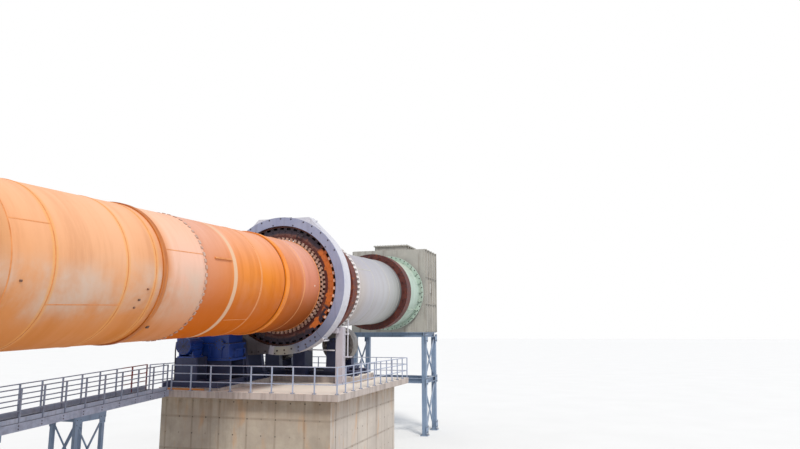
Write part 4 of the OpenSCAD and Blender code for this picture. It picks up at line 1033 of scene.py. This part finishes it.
def support_trim():
    """Base plate bolts and gussets of the columns beside the guard."""
    p = Piece("column_gussets")
    q = Piece("column_bolts")
    upright = Matrix.Rotation(math.pi / 2, 4, "X")
    for x, y in COLUMNS:
        for i in range(4):
            m = move(x + COLUMN_W / 2, y + COLUMN_W / 2, DECK_H + 0.03)
            m = m @ Matrix.Rotation(i * math.pi / 2, 4, "Z")
            p.plate(m @ move(0.082, 0.004, 0) @ upright, [(0, 0), (0.028, 0), (0, 0.1)], 0.008)
            q.bolt(m @ move(0.095, 0.095, 0), 0.011)
    p.done("column_grey")
    q.done("bolt_dark")


# drive
def gearbox_trim():
    """Joint, foot and cover bolts of the gearbox, its breather, covers, lifting eyes and oil pipe."""
    p = Piece("gearbox_bolts")
    q = Piece("gearbox_fittings")
    z = PINION_Z
    edge, cover_r = 0.015, 0.092
    for x in row(GEARBOX_X0 + 0.025, GEARBOX_X1 - 0.025, 12):
        for y in (GEARBOX_Y0 + edge, GEARBOX_Y1 - edge):
            p.bolt(at(x, y, z + 0.02), 0.011)
    for y in row(GEARBOX_Y0 + 0.07, GEARBOX_Y1 - 0.06, 16):
        for x in (GEARBOX_X0 + edge, GEARBOX_X1 - edge):
            p.bolt(at(x, y, z + 0.02), 0.011)
    for x in (GEARBOX_X0 + 0.05, GEARBOX_X1 - 0.05):
        for y in row(GEARBOX_Y0 + 0.02, GEARBOX_Y1 - 0.02, 3):
            p.bolt(at(x, y, z - 0.285), 0.016)
    for i in range(8):
        a = i * math.pi / 4
        for y in (PINION_Y, MOTOR_Y):
            p.bolt(at(GEARBOX_X0, y + cover_r * math.cos(a), z + cover_r * math.sin(a)) @ MINUS_X, 0.009)
    # breather, inspection cover, oil level glass
    q.rod(at(-1.45, 0.98, z + 0.285), 0.03, 0.05, 16)
    q.cone(at(-1.45, 0.98, z + 0.335), 0.042, 0.036, 0.04, 16)
    q.box(at(-1.3, 1.1, z + 0.275), (0.2, 0.26, 0.012))
    q.box(at(-1.742, 1.1, z - 0.14), (0.012, 0.05, 0.16))
    for y in (0.8, 1.55):
        for x in (GEARBOX_X0 + 0.09, GEARBOX_X1 - 0.09):
            q.box(at(x, y, z + 0.245), (0.014, 0.08, 0.1))
    q.tube([KILN @ Vector((x, y, z + dz)) for x, y, dz in (
        (-1.2, 0.66, -0.2), (-1.2, 0.6, -0.2), (-1.2, 0.6, -0.1), (-1.6, 0.6, -0.1), (-1.6, 0.6, -0.24),
        (-1.6, 0.66, -0.24))], 0.012)
    p.done("bolt_dark")
    q.done("drive_blue", bevel=0.003)


def motor_trim():
    """Fan grille, foot and terminal box bolts, lifting eye and conduit of the motor."""
    p = Piece("motor_grille")
    q = Piece("motor_fittings")
    x, y, z = MOTOR_X, MOTOR_Y, PINION_Z
    grille_x, thick, spoke_mid = -2.306, 0.006, 0.08
    for r in (0.03, 0.06, 0.09, 0.12, 0.15):
        p.ring(at(0, y, z), grille_x, grille_x + thick, r - 0.004, r + 0.004, 36)
    for i in range(8):
        a = i * math.pi / 4
        m = at(grille_x + 0.004, y + spoke_mid * math.cos(a), z + spoke_mid * math.sin(a))
        p.box(m @ Matrix.Rotation(a, 4, "X"), (thick, 0.15, 0.006))
    p.done("bolt_dark")
    for foot_x in (-2.17, -1.91):
        for dy in (-0.17, 0.17):
            q.bolt(at(foot_x, y + dy, z - 0.215), 0.014)
    for dx, dz in corners(0.08, 0.035):
        q.bolt(at(x + dx, y + 0.25, z + 0.11 + dz) @ TO_Y, 0.006)
    q.rod(at(x, y, z + 0.165), 0.02, 0.02)
    q.ring(at(x, y, z + 0.205) @ Matrix.Rotation(math.pi / 2, 4, "Z"), -0.006, 0.006, 0.02, 0.032, 24)
    q.tube([KILN @ Vector((x, y + dy, h)) for dy, h in (
        (0.25, z + 0.1), (0.33, z + 0.06), (0.35, z - 0.1), (0.35, BASE_TOP))], 0.014)
    q.done("bolt_dark")


def pinion_block_trim():
    """Foot and cover bolts and grease nipples of the pinion's two bearings."""
    p = Piece("pinion_bearing_bolts")
    cover_r, first_bolt = 0.09, 0.2
    for x in PINION_BEARINGS:
        for y in (PINION_Y - 0.21, PINION_Y + 0.25):
            for dx in (-0.045, 0.045):
                p.bolt(at(x + dx, y, BASE_TOP + 0.04), 0.014)
        for i in range(6):
            a = i * math.pi / 3 + first_bolt
            for e, turn in BOTH_ENDS:
                m = at(x + e * 0.06, PINION_Y + cover_r * math.cos(a), PINION_Z + cover_r * math.sin(a))
                p.bolt(m @ turn, 0.008)
        p.cone(at(x, PINION_Y, PINION_Z + 0.12), 0.014, 0.01, 0.035)
    p.done("bolt_dark")


def bed_bolts():
    """Pairs of bolts along the three beams of the drive's bed."""
    p = Piece("drive_bed_bolts")
    for y in (0.64, 1.18, 1.78):
        for x in row(-2.2, -0.12, 9):
            for dy in (-0.05, 0.05):
                p.bolt(at(x, y + dy, BASE_TOP - 0.102), 0.012)
    p.done("bolt_dark")


# piers
def deck_trim():
    """Drip edges below the slabs, and the painted strip on the edge of the drive's plinth."""
    p = Piece("slab_drip_edges")
    for x, l, z in ((PIER_1_X, DECK_1_L, DECK_1_H - 0.13), (0, DECK_L, DECK_H - 0.13)):
        for y in (-2.05, 2.05):
            p.box(move(x, y, z), (l, 0.03, 0.012))
        for dx in (0.025 - l / 2, l / 2 - 0.025):
            p.box(move(x + dx, 0, z), (0.03, 4.1, 0.012))
    p.done("concrete")
    q = Piece("plinth_edge_strip")
    q.box(move(-2.249, 1.37, DECK_H + 0.019), (0.006, 1.05, 0.034))
    q.done("strip_orange")


def post_plates():
    """Foot plates and bolts of the railing posts, worked out the way the CAD part spaces them."""
    p = Piece("post_plates")
    q = Piece("post_bolts")
    thick = 0.008

    def run(a, b, first, last):
        a, b = Vector(a), Vector(b)
        n = max(1, round((b - a).length / POST_GAP))
        for i in range(first, n - last + 1):
            m = Matrix.Translation(a + (b - a) * i / n)
            p.box(m @ move(0, 0, thick / 2), (0.07, 0.07, thick))
            for dx, dy in corners(0.024, 0.024):
                q.rod(m @ move(dx, dy, thick), 0.007, 0.008, 6)

    y_long = DECK_W / 2 - POST_EDGE
    y_short = y_long - 0.0113
    walk_side = WALK_Y - 0.025
    for x, l, z, walk_end in ((0, DECK_L, DECK_H, -1), (PIER_1_X, DECK_1_L, DECK_1_H, 1)):
        half = l / 2 - POST_EDGE
        for y in (-y_long, y_long):
            run((x - half, y, z), (x + half, y, z), 0, 0)
        for e in (-1, 1):
            open_end = e == walk_end
            run((x + e * half, -y_short, z), (x + e * half, walk_side if open_end else y_short, z), 1,
                0 if open_end else 1)
    p.done("rail_grey", bevel=0.002)
    q.done("bolt_dark")


def anchor_bolts():
    """Anchor bolts on the plinths of the roller bases and of the drive."""
    p = Piece("plinth_anchor_bolts")
    for x in TYRES:
        for y in (-1.3, 1.3):
            for dx in (-0.56, 0.56):
                p.anchor(at(x + dx, y, PLINTH_TOP), 0.014)
    for x in (-2.15, -1.4, -0.7, -0.1):
        p.bolt(at(x, 1.87, PLINTH_TOP), 0.012)
    p.done("bolt_dark")


# walkway
def walk_z(x):
    """Height of the walkway's floor."""
    return DECK_1_H + (DECK_H - DECK_1_H) * (x - WALK_X0) / (WALK_X1 - WALK_X0)


def walkway_trim():
    """Toe boards, and the bolts along the walkway's side beams."""
    p = Piece("walkway_toe_boards")
    q = Piece("walkway_bolts")
    x0, x1 = WALK_X0 + 0.05, WALK_X1 - 0.05
    mid = (x0 + x1) / 2
    slope = math.atan2(walk_z(x1) - walk_z(x0), x1 - x0)
    for y in (WALK_Y + 0.018, WALK_Y + WALK_W - 0.018):
        p.box(move(mid, y, walk_z(mid) + 0.05) @ Matrix.Rotation(-slope, 4, "Y"),
              ((x1 - x0) / math.cos(slope), 0.004, 0.07))
    for x in row(x0 + 0.1, x1 - 0.1, 20):
        for y, turn in ((WALK_Y, MINUS_Y), (WALK_Y + WALK_W, TO_Y)):
            for dz in (-0.03, -0.075):
                q.bolt(move(x, y, walk_z(x) + dz) @ turn, 0.008, washer=False)
    p.done("rail_grey")
    q.done("bolt_dark")


def trestle_trim():
    """Gusset plates with bolts where the braces meet the legs, and anchor bolts at the feet."""
    p = Piece("trestle_gussets")
    q = Piece("trestle_bolts")
    spread, leg_w = 0.3, 0.068
    for x in row(WALK_X0, WALK_X1, 5)[1:-1]:
        h = walk_z(x) - 0.13
        for y, s, turn in ((WALK_Y + 0.03, -1, MINUS_Y), (WALK_Y + WALK_W - 0.03, 1, TO_Y)):
            face = y + s * leg_w / 2
            for dx in (-spread, spread):
                for z in (0.1, h / 2, h - 0.08):
                    p.box(move(x + dx * 0.9, face, z), (0.14, 0.006, 0.14))
                    for bx, bz in corners(0.04, 0.04):
                        q.bolt(move(x + dx * 0.9 + bx, face, z + bz) @ turn, 0.007, washer=False)
                for bx, by in corners(0.045, 0.045):
                    q.bolt(move(x + dx + bx, y + by, 0.02), 0.007)
    p.done("frame_blue")
    q.done("bolt_dark")


# discharge hood
def hood_doors():
    """Hinges, latches, peep holes, handles and bolts of the two doors in the burner wall."""
    p = Piece("hood_door_fittings")
    q = Piece("hood_door_bolts")
    x = HOOD_X0 - 0.03
    z = AXIS_H + HOOD_X0 * math.tan(SLOPE) - 0.125
    for s in (-1, 1):
        y = s * 0.85
        for dz in (-0.3, 0.3):
            p.box(move(x - 0.008, y + s * 0.14, z + dz), (0.016, 0.36, 0.05))
            p.rod(move(x - 0.012, y + s * 0.315, z + dz - 0.05), 0.016, 0.1)
            p.box(move(x - 0.014, y - s * 0.27, z + dz), (0.028, 0.09, 0.035))
        p.cone(move(x, y, z + 0.12) @ MINUS_X, 0.085, 0.08, 0.02, 28)
        p.rod(move(x - 0.02, y, z + 0.12) @ MINUS_X, 0.05, 0.012, 24)
        p.tube([Vector((x - out, y + dy, z - 0.12)) for out, dy in (
            (0, -0.06), (0.035, -0.06), (0.035, 0.06), (0, 0.06))], 0.009)
        for dy in row(-0.27, 0.27, 7):
            for dz in (-0.45, 0.45):
                q.bolt(move(x, y + dy, z + dz) @ MINUS_X, 0.011)
        for dz in row(-0.35, 0.35, 8):
            for dy in (-0.275, 0.275):
                q.bolt(move(x, y + dy, z + dz) @ MINUS_X, 0.011)
    p.done("cast_dark", bevel=0.004)
    q.done("bolt_dark")


def hood_ribs():
    """Stiffeners, flange strips and lifting eyes on the hood's plates, and the heads of the brick
    anchors, which leave out the doors, the burner port and the kiln's opening."""
    p = Piece("hood_ribs")
    q = Piece("hood_anchor_heads")
    h = HOOD_TOP - HOOD_Z
    z_mid = (HOOD_TOP + HOOD_Z) / 2
    levels = row(HOOD_Z + 0.2, HOOD_Z + 3.14, 13)
    port_r, kiln_r = 0.3, 1.3

    def head(m):
        q.cone(m, 0.012, 0.009, 0.007, 8)

    for x in (HOOD_X0 - 0.012, HOOD_X1 + 0.012):
        for y in (-1.46, 1.46):
            p.box(move(x, y, z_mid), (0.024, 0.07, h))
        for z in (HOOD_Z + 0.04, HOOD_TOP - 0.04):
            p.box(move(x, 0, z), (0.024, 2.85, 0.07))
    for y in (-0.5, 0.5):
        p.box(move(HOOD_X0 - 0.02, y, z_mid + 0.95), (0.04, 0.014, 1.25))
    for z in (HOOD_Z + 0.55, HOOD_TOP - 0.5):
        for y in (-HOOD_Y - 0.02, HOOD_Y + 0.02):
            p.box(move(HOOD_X, y, z), (HOOD_L, 0.04, 0.014))
    for x in row(HOOD_X0 + 0.3, HOOD_X0 + 1.86, 5):
        p.box(move(x, 0, HOOD_TOP + 0.02), (0.014, 2.9, 0.04))
    p.box(move(HOOD_X, 0, HOOD_TOP + 0.02), (HOOD_L, 0.014, 0.04))
    for y in row(-1.3, 1.3, 12):
        for z in levels:
            up = z - AXIS_H - HOOD_X0 * math.tan(SLOPE)
            door = abs(abs(y) - 0.85) < 0.36 and -0.66 < up < 0.42
            if math.hypot(y, up) > port_r and not door:
                head(move(HOOD_X0, y, z) @ MINUS_X)
            if math.hypot(y, z - AXIS_H - HOOD_X1 * math.tan(SLOPE)) > kiln_r:
                head(move(HOOD_X1, y, z) @ TO_X)
    for s, turn in BOTH_SIDES:
        for x in row(HOOD_X0 + 0.16, HOOD_X0 + 2.04, 9):
            for z in levels:
                head(move(x, s * HOOD_Y, z) @ turn)
    for y in (-1.1, 1.1):
        for x in (HOOD_X0 + 0.25, HOOD_X1 - 0.25):
            p.box(move(x, y, HOOD_TOP + 0.045), (0.12, 0.02, 0.09))
    p.done("hood_grey", bevel=0.002)
    q.done("cast_dark")


def hood_seal_trim():
    """Bolts, overlapping leaves and brackets of the seal round the kiln's nose."""
    p = Piece("hood_seal_bolts")
    q = Piece("hood_seal_leaves")
    x = (HOOD_X1 - 0.06) / math.cos(SLOPE) + 0.3
    for a in even_turn(48):
        p.bolt(around(x, 1.16, a) @ TO_X, 0.011)
        q.box(around(x + 0.006, 1.055, a) @ Matrix.Rotation(math.radians(4), 4, "Z"), (0.006, 0.145, 0.09))
    for a in even_turn(12):
        q.box(around(x - 0.2, 1.15, a), (0.14, 0.012, 0.06))
    p.done("bolt_dark")
    q.done("seal_red")


def burner_port():
    """Flange with bolts and ribs round the burner port."""
    p = Piece("burner_flange")
    q = Piece("burner_flange_bolts")
    x = (HOOD_X0 - 0.06) / math.cos(SLOPE) - 0.09
    p.ring(KILN, x, x + 0.02, 0.152, 0.235, 64)
    for a in even_turn(16):
        q.bolt(around(x, 0.213, a) @ MINUS_X, 0.01)
    for a in even_turn(8, 11):
        p.box(around(x + 0.055, 0.21, a), (0.07, 0.01, 0.045))
    p.done("hood_grey", bevel=0.002)
    q.done("bolt_dark")


# feed end
def chamber_trim():
    """Bolts of both flanges of the round chamber, gussets and three long ribs."""
    p = Piece("chamber_bolts")
    q = Piece("chamber_gussets")
    flange_x, thick = BOX_X0 - 0.13, 0.01
    half_turn = Matrix.Rotation(math.pi, 4, "Z")
    for a in even_turn(48):
        p.bolt(around(flange_x, 1.215, a) @ MINUS_X, 0.012)
    for a in even_turn(36):
        p.bolt(around(5.96, 1.145, a) @ MINUS_X, 0.009)
    for a in even_turn(24):
        q.plate(around(flange_x, 1.12, a) @ MINUS_Y @ half_turn @ move(0, 0, -thick / 2),
                [(0, 0), (0.16, 0), (0, -0.1)], thick)
    for a in even_turn(3):
        q.box(around(6.5, 1.12, a), (0.6, 0.012, 0.06))
    p.done("bolt_dark")
    q.done("chamber_green")


def seal_ring_trim():
    """Bolts on both faces of the dark red ring, and scoops in front of it."""
    p = Piece("feed_seal_bolts")
    for a in even_turn(60):
        p.bolt(around(5.46, 1.165, a) @ MINUS_X, 0.01)
        p.bolt(around(5.9, 1.165, a + 3) @ TO_X, 0.01)
    p.done("bolt_dark", "kiln")
    q = Piece("feed_seal_scoops")
    for a in even_turn(24):
        q.box(around(5.44, 1.09, a) @ Matrix.Rotation(math.radians(20), 4, "Z"), (0.03, 0.12, 0.012))
    q.done("seal_red", "kiln")


def feed_box_ribs():
    """Ribs, seams, two hatches and the inlet's bolts and ribs on the feed box."""
    p = Piece("feed_box_ribs")
    q = Piece("feed_box_bolts")
    x0, x1 = BOX_X0, BOX_X1
    h = BOX_TOP - BOX_BOTTOM
    z_mid = (BOX_TOP + BOX_BOTTOM) / 2
    hatch_x, hatch_z, plate = x0 + 0.58, z_mid + 0.1, 0.024
    inlet_z, inlet_y = BOX_TOP + 0.2, 0.59
    for s, turn in BOTH_SIDES:
        for x in row(x0 + 0.06, x0 + 1.44, 5):
            p.box(move(x, s * (BOX_Y + 0.025), z_mid), (0.012, 0.05, h))
        for z in (BOX_BOTTOM + 0.03, BOX_BOTTOM + 0.95, BOX_TOP - 0.95, BOX_TOP - 0.03):
            p.box(move((x0 + x1) / 2, s * (BOX_Y + 0.02), z), (BOX_L, 0.04, 0.012))
        p.box(move(hatch_x, s * (BOX_Y + plate / 2), hatch_z), (0.3, plate, 0.4))
        for i in range(5):
            for e in (-1, 1):
                for dx, dz in ((i * 0.06 - 0.12, e * 0.18), (e * 0.135, i * 0.07 - 0.14)):
                    q.bolt(move(hatch_x + dx, s * (BOX_Y + plate), hatch_z + dz) @ turn, 0.007)
    for y in row(-0.9, 0.9, 4):
        p.box(move(x1 + 0.02, y, z_mid), (0.04, 0.012, h))
    for z in (BOX_BOTTOM + 0.5, z_mid + 0.4, BOX_TOP - 0.4):
        p.box(move(x1 + 0.015, 0, z), (0.03, 2.56, 0.012))
    for y in row(-0.58, 0.5804, 13):
        for dx in (-0.475, 0.475):
            q.bolt(move(x0 + 0.71 + dx, y, inlet_z), 0.01)
    for x in row(x0 + 0.31, x0 + 1.11, 9):
        for y in (-inlet_y, inlet_y):
            q.bolt(move(x, y, inlet_z), 0.01)
    for y in (-inlet_y, inlet_y):
        for x in row(x0 + 0.36, x0 + 1.08, 4):
            p.box(move(x, y, BOX_TOP + 0.08), (0.012, 0.06, 0.16))
    p.done("hood_grey")
    q.done("bolt_dark")


def frame_joints():
    """Gusset plates, bolts and anchor bolts of the frames below the hood and the feed box."""
    p = Piece("frame_gussets")
    q = Piece("frame_bolts")

    def corner(x, y, z, s, turn):
        p.box(move(x, y + s * 0.085, z), (0.3, 0.008, 0.26))
        for dx in (-0.1, 0.0, 0.1):
            for dz in (-0.08, 0.08):
                q.bolt(move(x + dx, y + s * 0.089, z + dz) @ turn, 0.01)

    def foot(x, y, w):
        for dx, dy in corners(w, w):
            q.anchor(move(x + dx, y + dy, 0.03), 0.012)

    for s, turn in BOTH_SIDES:
        y = s * 1.42
        for x in (HOOD_X0 + 0.12, HOOD_X1 - 0.12):
            for z in (0.2, HOOD_Z - 0.24):
                corner(x, y, z, s, turn)
            foot(x, y, 0.105)
        y = s * 1.225
        for x in (BOX_X0 + 0.075, BOX_X1 - 0.075):
            for z in (0.2, BOX_BOTTOM / 2 + 0.07, BOX_BOTTOM - 0.2):
                corner(x, y, z, s, turn)
            foot(x, y, 0.1)
    p.done("frame_blue")
    q.done("bolt_dark")


# floor, light and camera
def link(name, data):
    """Puts data in the scene as an object."""
    ob = bpy.data.objects.new(name, data)
    bpy.context.scene.collection.objects.link(ob)
    return ob


def floor():
    """Plain pale floor."""
    bm = bmesh.new()
    bmesh.ops.create_grid(bm, x_segments=1, y_segments=1, size=300)
    me = bpy.data.meshes.new("floor")
    bm.to_mesh(me)
    bm.free()
    t = Finish("floor")
    pale = t.mix(t.noise(t.coords()["Object"], 0.5, 5.0), (0.74, 0.73, 0.71, 1), (0.8, 0.79, 0.77, 1))
    t.put(t.shader["Base Color"], pale)
    t.put(t.shader["Roughness"], 0.9)
    me.materials.append(t.material)
    link("floor", me)


def studio():
    """Soft light from all round, white behind, and two suns: azimuth 0 shines towards +Y, 90 towards
    -X."""
    w = bpy.data.worlds.new("studio")
    bpy.context.scene.world = w
    w.use_nodes = True
    t = Tree(w.node_tree)
    soft = w.node_tree.nodes["Background"]
    white = t.node("ShaderNodeBackground")
    for n, color, power in ((soft, (0.86, 0.91, 1.0, 1), 0.75), (white, (1, 1, 1, 1), 1.0)):
        t.put(n.inputs[0], color)
        t.put(n.inputs[1], power)
    both = t.node("ShaderNodeMixShader")
    for i, v in enumerate((t.node("ShaderNodeLightPath").outputs["Is Camera Ray"], soft.outputs[0],
                           white.outputs[0])):
        t.put(both.inputs[i], v)
    t.put(w.node_tree.nodes["World Output"].inputs["Surface"], both.outputs[0])
    for name, azimuth, height, power, angle, color in (
            ("key", -55, 48, 2.3, 12, (1.0, 0.96, 0.9)), ("fill", 25, 25, 0.6, 60, (0.9, 0.95, 1.0))):
        d = bpy.data.lights.new(name, "SUN")
        d.energy, d.angle, d.color = power, math.radians(angle), color
        link(name, d).rotation_euler = (math.radians(90 - height), 0, math.radians(azimuth))


def camera():
    """The photo's viewpoint, fitted to it: looking uphill, up by 9.5 degrees and 16.4 degrees to the
    left of the axis."""
    d = bpy.data.cameras.new("camera")
    d.sensor_width = 36
    d.lens = 28.85
    d.clip_end = 500
    ob = link("camera", d)
    ob.location = (-13.74, -6.617, 3.350)
    ob.rotation_euler = (math.radians(90) + 0.1657, 0.0014, math.radians(-90) + 0.2871)
    bpy.context.scene.camera = ob


bpy.context.scene.view_settings.view_transform = "Standard"
for make in (dress_nodes, shell_seams, seam_tabs, shell_marks, gear_bolts, gear_rings, gear_joints,
             saddle_welds, bearing_trim, base_trim, guard_bolts, guard_edges, guard_gussets, guard_joints,
             guard_hatches, guard_pipes, pinion_cover_trim, support_trim, gearbox_trim, motor_trim,
             pinion_block_trim, bed_bolts, deck_trim, post_plates, anchor_bolts, walkway_trim,
             trestle_trim, hood_doors, hood_ribs, hood_seal_trim, burner_port, chamber_trim,
             seal_ring_trim, feed_box_ribs, frame_joints, floor, studio, camera):
    make()
